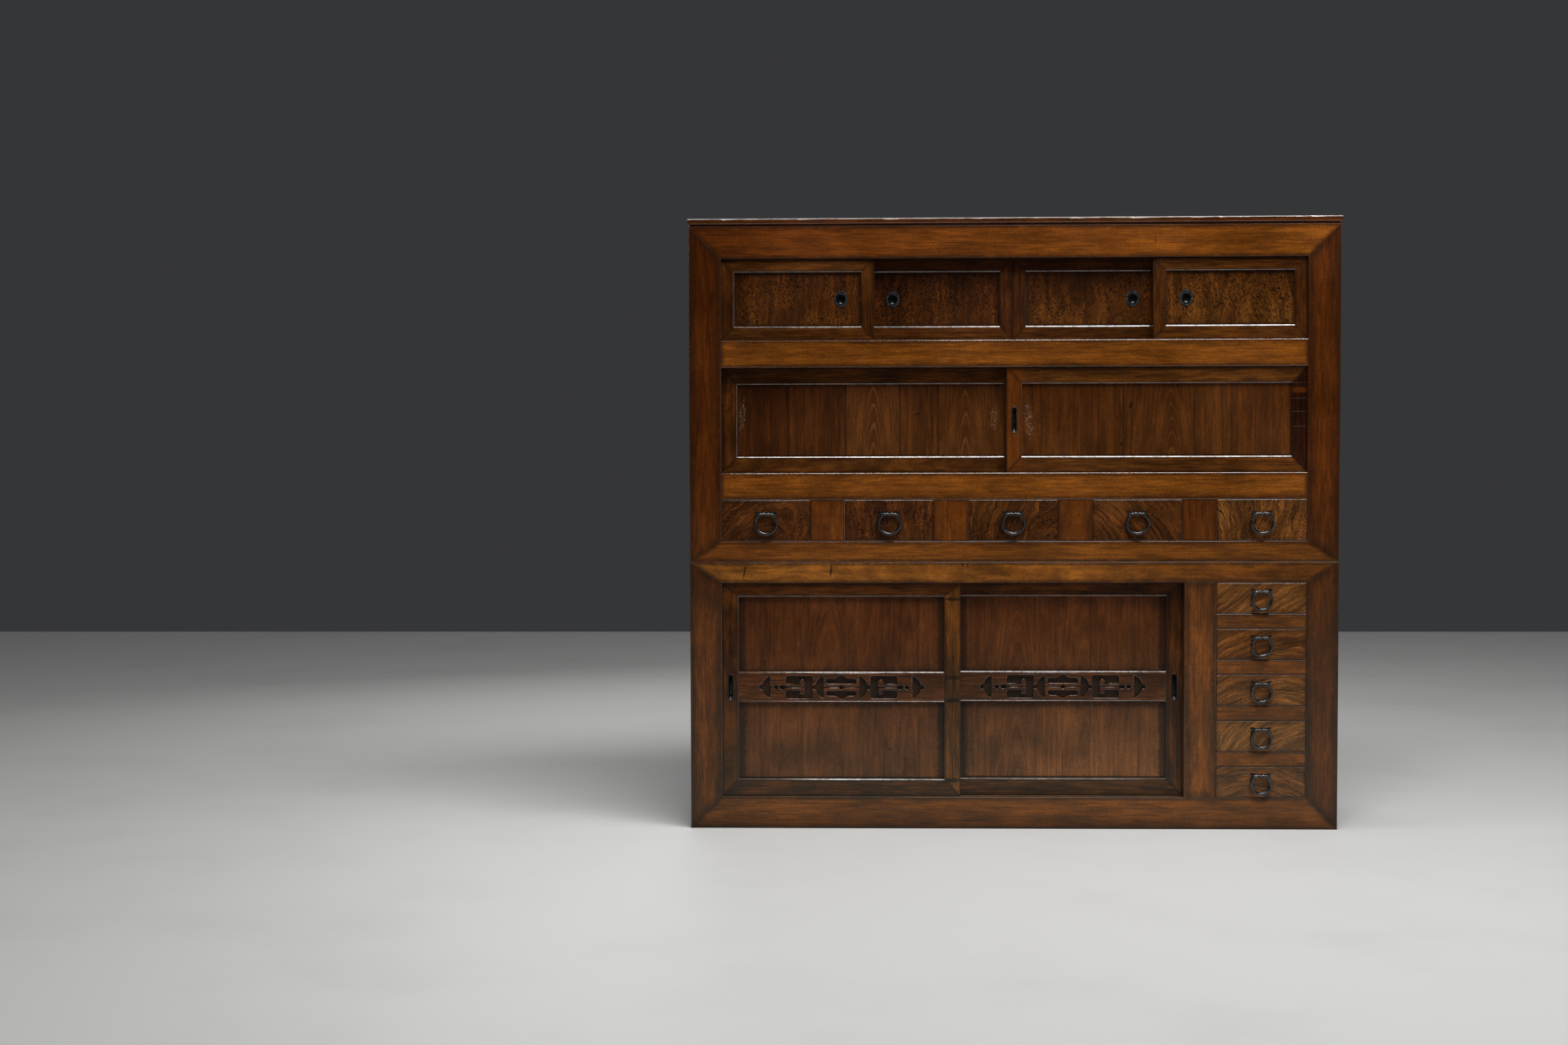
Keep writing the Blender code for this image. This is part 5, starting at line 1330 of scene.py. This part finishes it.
def carved_rail(name):
    """A pierced rail as a filled curve with eased edges, made a mesh and stood up between the stiles."""
    low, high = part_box(f"{name}_carved_rail")
    half_x, half_z = (high.x - low.x) / 2.0, (high.z - low.z) / 2.0 - CARVED_LIP
    bar = crest_bar()
    outlines = [
        [(-half_x, -half_z), (half_x, -half_z), (half_x, half_z), (-half_x, half_z)],
        figure_outline(),
        bar,
        [(x, -z) for x, z in bar],
    ]
    curve = bpy.data.curves.new(name, "CURVE")
    curve.dimensions = "2D"
    curve.fill_mode = "BOTH"
    curve.extrude = (high.y - low.y) / 2.0 - CARVED_EASE
    curve.bevel_depth = CARVED_EASE
    curve.bevel_resolution = 2
    curve.offset = -CARVED_EASE
    for outline in outlines:
        spline = curve.splines.new("POLY")
        spline.points.add(len(outline) - 1)
        for point, (x, z) in zip(spline.points, outline):
            point.co = (x, z, 0.0, 1.0)
        spline.use_cyclic_u = True
    carrier = bpy.data.objects.new(name, curve)
    bpy.context.collection.objects.link(carrier)
    graph = bpy.context.evaluated_depsgraph_get()
    flat = bpy.data.meshes.new_from_object(carrier.evaluated_get(graph))
    bpy.data.objects.remove(carrier, do_unlink=True)
    centre = (low + high) / 2.0
    stand = Matrix.Translation(centre) @ Matrix.Rotation(math.radians(90), 4, "X")
    flat.transform(stand)
    shape = bmesh.new()
    shape.from_mesh(flat)
    bmesh.ops.remove_doubles(shape, verts=shape.verts, dist=1e-6)
    bmesh.ops.recalc_face_normals(shape, faces=shape.faces)
    pith = centre + Vector((5.0, 0.05, 0.13))
    made = {
        "points": [vertex.co[:] for vertex in shape.verts],
        "faces": [],
        "smooth": [],
        "arris": [],
        # Bevels and hole walls count as near an edge, so they take soiling and painted shade.
        "worn": [0.0 if abs(vertex.normal.y) > CARVED_FACE else 1.0 for vertex in shape.verts],
        "grain": [tuple(vertex.co - pith) for vertex in shape.verts],
        "tone": [CARVED_TONE] * len(shape.verts),
        "curl": 0.0,
        "figure": 1.0,
    }
    shape.verts.index_update()
    for face in shape.faces:
        made["faces"].append(tuple(vertex.index for vertex in face.verts))
        made["smooth"].append(abs(face.normal.y) < ALONG_AN_AXIS)
        made["arris"].append(1.0 if 0.2 < abs(face.normal.y) < ALONG_AN_AXIS else 0.0)
    shape.free()
    boards = [made]
    lip_ends = [(x, x) for x in (low.x, high.x)]
    # The top lip's arris shines and pales more than the foot's: wear, and painted highlight.
    for foot, shine in ((low.z, 0.3), (high.z - CARVED_LIP, 1.0)):
        boards.append(rail(low.y, high.y, foot, foot + CARVED_LIP, *lip_ends, tone=(CARVED_TONE, CARVED_TONE),
                           arris=0.0003, shine=shine))
    put(f"{name}_openwork", assemble(f"{name}_openwork", boards), CARVED_WOOD, name, "cedar", f"{name}_carved_rail")


LOWER_DOORS = (
    ("lower_door_left", 0, (0.86, 1.5, 0.88, 1.0), 0.93, (0.115, 0.31, 0.50, 0.70, 0.865)),
    ("lower_door_right", 1, (0.85, 0.9, 0.92, 1.1), 1.10, (0.13, 0.37, 0.50, 0.63, 0.86)),
)
for name, pull_stile, tones, shade, cuts in LOWER_DOORS:
    pull, mortise = slot_pull(name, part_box(f"{name}_frame")[0].y)
    cutters = [None, None]
    cutters[pull_stile] = mortise
    door_frame(name, tones, cutters)
    put(f"{name}_slot", pull, BLACK_IRON, name, "black_iron", f"{name}_pull")
    planks = []
    for _ in range(len(cuts) + 1):
        heart = chance.choice((0.25, -0.30, 0.02, 0.18))
        planks.append((heart, chance.uniform(0.04, 0.09), chance.uniform(-0.02, 0.06),
                       shade * chance.uniform(0.92, 1.07), chance.uniform(0.2, 0.6)))
    plank_panel(name, LOWER_PLANKS, 0.006, LOWER_FADE, cuts, planks)
    carved_rail(name)

# The drawers. Each has a flush front of figured zelkova on a light box of bare paulownia.
# How a front was cut from the trunk gives each its own figure, so every one has its own axis and pith.
DRAWER_FRONT = 0.019
DRAWER_WALL = 0.010
DRAWER_BOTTOM = 0.007
DRAWER_TOP_DROP = 0.012
BOX_SIDE_INSET = 0.0006
FRONT_STANDS_PROUD = 0.013        # how far the lugs reach before the front
PAULOWNIA_PALE = (0.400, 0.265, 0.150, 1.0)
PAULOWNIA_DARK = (0.270, 0.165, 0.085, 1.0)
ZELKOVA_PALE = (0.205, 0.0770, 0.0165, 1.0)
ZELKOVA_DARK = (0.026, 0.0076, 0.0014, 1.0)
ZELKOVA_FLECKS = ((0.210, 0.0745, 0.0138, 1.0), (0.018, 0.0050, 0.0007, 1.0))
ZELKOVA = wood("zelkova", ZELKOVA_PALE, ZELKOVA_DARK, 0.0029, 0.60, 0.018, pore=0.75, band=0.24,
               fibre=0.28, streak=0.28, cloud=0.40, burr=ZELKOVA_FLECKS, rub=0.4, specks=0.3)
PAULOWNIA = wood("paulownia", PAULOWNIA_PALE, PAULOWNIA_DARK, 0.005, wander=0.020, rub=0.2, grime=0.15)
DRAWER_FIGURES = {
    "upper": (
        ((0.45, 0.50, 0.60), (0.060, 0.09, 0.02), 0.88, 0.48),
        ((0.15, 0.30, 0.95), (-0.15, 0.05, 0.02), 0.9, 0.46),
        ((0.20, 0.30, 0.92), (0.12, 0.06, 0.01), 0.9, 0.54),
        ((0.60, 0.60, -0.45), (-0.12, 0.04, -0.12), 0.60, 0.58),
        ((0.40, 0.45, 0.80), (-0.16, 0.06, -0.03), 0.75, 0.94),
    ),
    "lower": (
        ((0.75, 0.35, 0.55), (0.18, 0.03, -0.14), 0.45, 1.22),
        ((0.70, 0.50, 0.45), (0.06, 0.05, -0.14), 0.50, 0.81),
        ((0.45, 0.75, 0.35), (0.03, 0.03, -0.19), 0.40, 1.03),
        ((0.35, 0.80, 0.30), (0.14, 0.02, -0.16), 0.35, 1.19),
        ((0.55, 0.70, 0.30), (-0.05, 0.03, -0.20), 0.35, 0.80),
    ),
}


def drawer_pieces(name, axis, pith, curl, tone):
    """A drawer's figured front and its bare box."""
    low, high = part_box(name)
    front = low.y + FRONT_STANDS_PROUD
    front_low = Vector((low.x, front, low.z + 0.0007))
    front_high = Vector((high.x, front + DRAWER_FRONT, high.z))
    heart = (front_low + front_high) / 2.0 + Vector(pith)
    front_ends = [(x, x) for x in (front_low.x, front_high.x)]
    face = rail(front_low.y, front_high.y, front_low.z, front_high.z, *front_ends, axis=axis, pith=heart,
                tone=(tone, tone), curl=curl, end_arris=0.0009)
    put(f"{name}_front", assemble(f"{name}_front", [face]), ZELKOVA, name, "burl", name)
    left, right = low.x + BOX_SIDE_INSET, high.x - BOX_SIDE_INSET
    foot, top = low.z, high.z - DRAWER_TOP_DROP
    inner_front, back = front_high.y + HAIRLINE, high.y
    walls = [
        board((left, inner_front, foot), (left + DRAWER_WALL, back, top), "Y", arris=0.0012),
        board((right - DRAWER_WALL, inner_front, foot), (right, back, top), "Y", arris=0.0012),
        board((left + DRAWER_WALL + HAIRLINE, back - DRAWER_WALL, foot),
              (right - DRAWER_WALL - HAIRLINE, back, top - 0.002), "X", arris=0.0012),
        board((left + DRAWER_WALL + HAIRLINE, inner_front, foot),
              (right - DRAWER_WALL - HAIRLINE, back - DRAWER_WALL - HAIRLINE, foot + DRAWER_BOTTOM), "X", arris=0.0006),
    ]
    put(f"{name}_box", assemble(f"{name}_box", walls), PAULOWNIA, name, "burl")


for row, figures in DRAWER_FIGURES.items():
    for number, figure in enumerate(figures, start=1):
        drawer_pieces(f"{row}_drawer_{number}", *figure)

# The ring pulls. A bow-tie plate nailed to the drawer front carries two forged lugs, and a round iron ring turns
# in them on a straight bar whose middle is worked into beads.
PLATE = (0.060, 0.018, 0.0015)
PLATE_WAIST = 0.0090
PLATE_NOTCH = 0.005
RING_AXIS_RISE = 0.01835          # bar above the middle of the drawer's box
RING_STANDOFF = 0.008
LUG_OFFSET = 0.0065
LUG_WIDTH = 0.005
LUG_RADIUS = 0.005
LUG_BORE = 0.0029
RING_RADII = {"upper": 0.030, "lower": 0.0275}
RING_WIRE = 0.0046
RING_BAR_HALF = 0.0150
RING_BAR_WIRE = 0.0025
RING_STEPS = 64
RING_SIDES = 14
BAR_BEADS = 3
BAR_BEAD_RADIUS = 0.0032
BAR_BEAD_SPAN = 0.0023            # middle bead to an outer one
NAIL_RADIUS = 0.0021


def plate_mesh(name, centre):
    """Bow-tie plate with notched ends and two lugs, each bored for the ring's bar."""
    half, tall, thick = PLATE[0] / 2.0, PLATE[1] / 2.0, PLATE[2]
    waist = PLATE_WAIST / 2.0
    quarter = [
        (0.010, waist),
        (0.017, waist + 0.0012),
        (half - 0.0045, tall - 0.0008),
        (half - 0.0018, tall - 0.0006),
        (half, tall - 0.0030),
        (half - PLATE_NOTCH, 0.0),
    ]
    right = quarter + [(x, -z) for x, z in reversed(quarter[:-1])]
    outline = right + [(-x, z) for x, z in reversed(right)]
    shape = bmesh.new()
    loops = []
    for y in (-thick, -0.0001):
        loops.append([shape.verts.new((x, y, z)) for x, z in outline])
    shape.faces.new(loops[0])
    shape.faces.new(loops[1][::-1])
    for i in range(len(outline)):
        j = (i + 1) % len(outline)
        shape.faces.new((loops[0][j], loops[0][i], loops[1][i], loops[1][j]))
    steps = 12
    for side in (-1, 1):
        x0 = side * LUG_OFFSET - LUG_WIDTH / 2.0
        rim = [(LUG_RADIUS * math.sin(math.pi * i / steps), LUG_RADIUS * math.cos(math.pi * i / steps))
               for i in range(steps + 1)]
        outer = [(RING_STANDOFF - thick, LUG_RADIUS)] + [(-y, z) for y, z in rim] + [(RING_STANDOFF - thick, -LUG_RADIUS)]
        bore = [(LUG_BORE * y / LUG_RADIUS, LUG_BORE * z / LUG_RADIUS) for y, z in
                [(RING_STANDOFF * 0.35, LUG_RADIUS)] + [(-y, z) for y, z in rim] + [(RING_STANDOFF * 0.35, -LUG_RADIUS)]]
        walls = []
        for x in (x0, x0 + LUG_WIDTH):
            for ring in (outer, bore):
                walls.append([shape.verts.new((x, y - RING_STANDOFF, z)) for y, z in ring])
        count = len(outer)
        for i in range(count):
            j = (i + 1) % count
            shape.faces.new((walls[0][i], walls[0][j], walls[1][j], walls[1][i]))
            shape.faces.new((walls[2][j], walls[2][i], walls[3][i], walls[3][j]))
            shape.faces.new((walls[0][j], walls[0][i], walls[2][i], walls[2][j]))
            shape.faces.new((walls[1][i], walls[1][j], walls[3][j], walls[3][i]))
    bmesh.ops.recalc_face_normals(shape, faces=shape.faces)
    sharp = [edge for edge in shape.edges if edge.calc_face_angle(0.0) > math.radians(40)]
    round_over(shape, sharp, 0.0004, 2)
    bmesh.ops.translate(shape, verts=shape.verts, vec=centre)
    mesh = bpy.data.meshes.new(name)
    shape.to_mesh(mesh)
    shape.free()
    mesh.shade_smooth()
    mesh.set_sharp_from_angle(angle=math.radians(38))
    return mesh


def ring_mesh(name, axis_at, radius):
    """A round ring, a little stouter at its foot, closed by a thinner straight bar."""
    rise = math.sqrt(radius ** 2 - RING_BAR_HALF ** 2)
    open_half = math.acos(rise / radius)
    path = []
    for i in range(RING_STEPS + 1):
        turn = math.pi / 2.0 + open_half + (2.0 * math.pi - 2.0 * open_half) * i / RING_STEPS
        wire = RING_WIRE * (1.0 - 0.14 * (1.0 + math.sin(turn)) / 2.0)
        path.append((radius * math.cos(turn), radius * math.sin(turn) - rise, wire))
    for i in range(1, 8):
        path.append((RING_BAR_HALF * (1.0 - i / 4.0) * 0.82, 0.0, RING_BAR_WIRE))
    rings = []
    for i, (x, z, wire) in enumerate(path):
        before, after = path[i - 1], path[(i + 1) % len(path)]
        run = Vector((after[0] - before[0], after[1] - before[1])).normalized()
        section = []
        for k in range(RING_SIDES):
            turn = 2.0 * math.pi * k / RING_SIDES
            out = wire * math.cos(turn)
            section.append(axis_at + Vector((x - run.y * out, wire * math.sin(turn), z + run.x * out)))
        rings.append(section)
    return skin(name, rings, closed=True)


def stud_tree():
    """Geometry nodes that set a domed nail head on every point; gives the tree and its inputs' identifiers."""
    tree = bpy.data.node_groups.new("nail_heads", "GeometryNodeTree")
    tree.interface.new_socket("Places", in_out="INPUT", socket_type="NodeSocketGeometry")
    keys = {}
    for title, kind in (("Head Radius", "Float"), ("Head Shape", "Vector"), ("Finish", "Material")):
        socket = tree.interface.new_socket(title, in_out="INPUT", socket_type=f"NodeSocket{kind}")
        keys[title] = socket.identifier
    tree.interface.new_socket("Nails", in_out="OUTPUT", socket_type="NodeSocketGeometry")
    given = tree.nodes.new("NodeGroupInput").outputs
    places = add(tree, "GeometryNodeMeshToPoints", {"Mesh": given["Places"]})
    head = add(tree, "GeometryNodeMeshUVSphere", {"Segments": 10, "Rings": 6, "Radius": given["Head Radius"]})
    rounded = add(tree, "GeometryNodeSetShadeSmooth", {0: head.outputs[0]})
    sockets = {"Points": places.outputs[0], "Instance": rounded.outputs[0], "Scale": given["Head Shape"]}
    nails = add(tree, "GeometryNodeInstanceOnPoints", sockets)
    solid = add(tree, "GeometryNodeRealizeInstances", {0: nails.outputs[0]})
    finished = add(tree, "GeometryNodeSetMaterial", {0: solid.outputs[0], "Material": given["Finish"]})
    tree.links.new(finished.outputs[0], tree.nodes.new("NodeGroupOutput").inputs[0])
    return tree, keys


NAIL_HEADS, NAIL_KEYS = stud_tree()
for row in DRAWER_FIGURES:
    for number in range(1, 6):
        drawer = f"{row}_drawer_{number}"
        ring_body = f"{row}_ring_{number}"
        ring_low, ring_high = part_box(ring_body)
        low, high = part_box(drawer)
        front = low.y + FRONT_STANDS_PROUD
        opening_middle = (ring_low.x + ring_high.x) / 2.0
        axis_at = Vector((opening_middle, front - RING_STANDOFF, (low.z + high.z) / 2.0 + RING_AXIS_RISE))
        plate_at = Vector((opening_middle, front, axis_at.z))
        put(f"{drawer}_plate", plate_mesh(f"{drawer}_plate", plate_at), BLACK_IRON, drawer, "black_iron")
        spots = [(plate_at.x + side * (PLATE[0] / 2.0 - 0.008), plate_at.y - PLATE[2], plate_at.z) for side in (-1, 1)]
        sizes = {"Head Radius": NAIL_RADIUS, "Head Shape": (1.0, 0.5, 1.0), "Finish": BLACK_IRON}
        nails = grown(f"{drawer}_plate_nails", spots, [], NAIL_HEADS, NAIL_KEYS, sizes)
        put(f"{drawer}_plate_nails", nails, BLACK_IRON, drawer, "black_iron")
        ring = ring_mesh(f"{ring_body}_ring", axis_at, RING_RADII[row])
        put(f"{ring_body}_ring", ring, BLACK_IRON, ring_body, "black_iron", ring_body)
        line = [(axis_at.x + side * BAR_BEAD_SPAN, axis_at.y, axis_at.z) for side in (-1, 1)]
        sizes = {"Bead Radius": BAR_BEAD_RADIUS, "Bead Count": BAR_BEADS, "Finish": BLACK_IRON}
        beads = grown(f"{ring_body}_beads", line, [(0, 1)], BEAD_ROW, BEAD_KEYS, sizes)
        put(f"{ring_body}_beads", beads, BLACK_IRON, ring_body, "black_iron")

# The nails of the backs. Small iron heads in three rows hold the thin planks to the carcass boards behind them.
BACK_NAIL_RADIUS = 0.0034
BACK_NAIL_EDGE = 0.012
for section in ("lower", "upper"):
    low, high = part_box(f"{section}_back")
    spots = []
    for z in (low.z + BACK_NAIL_EDGE, (low.z + high.z) / 2.0, high.z - BACK_NAIL_EDGE):
        for i in range(2 * BACK_PLANKS):
            x = low.x + (high.x - low.x) * (i + 0.5) / (2 * BACK_PLANKS)
            spots.append((x + chance.uniform(-0.012, 0.012), high.y - 0.0016, z + chance.uniform(-0.003, 0.003)))
    sizes = {"Head Radius": BACK_NAIL_RADIUS, "Head Shape": (1.0, 0.45, 1.0), "Finish": BLACK_IRON}
    nails = grown(f"{section}_back_nails", spots, [], NAIL_HEADS, NAIL_KEYS, sizes)
    put(f"{section}_back_nails", nails, BLACK_IRON, "case", "black_iron")

bpy.context.view_layer.update()
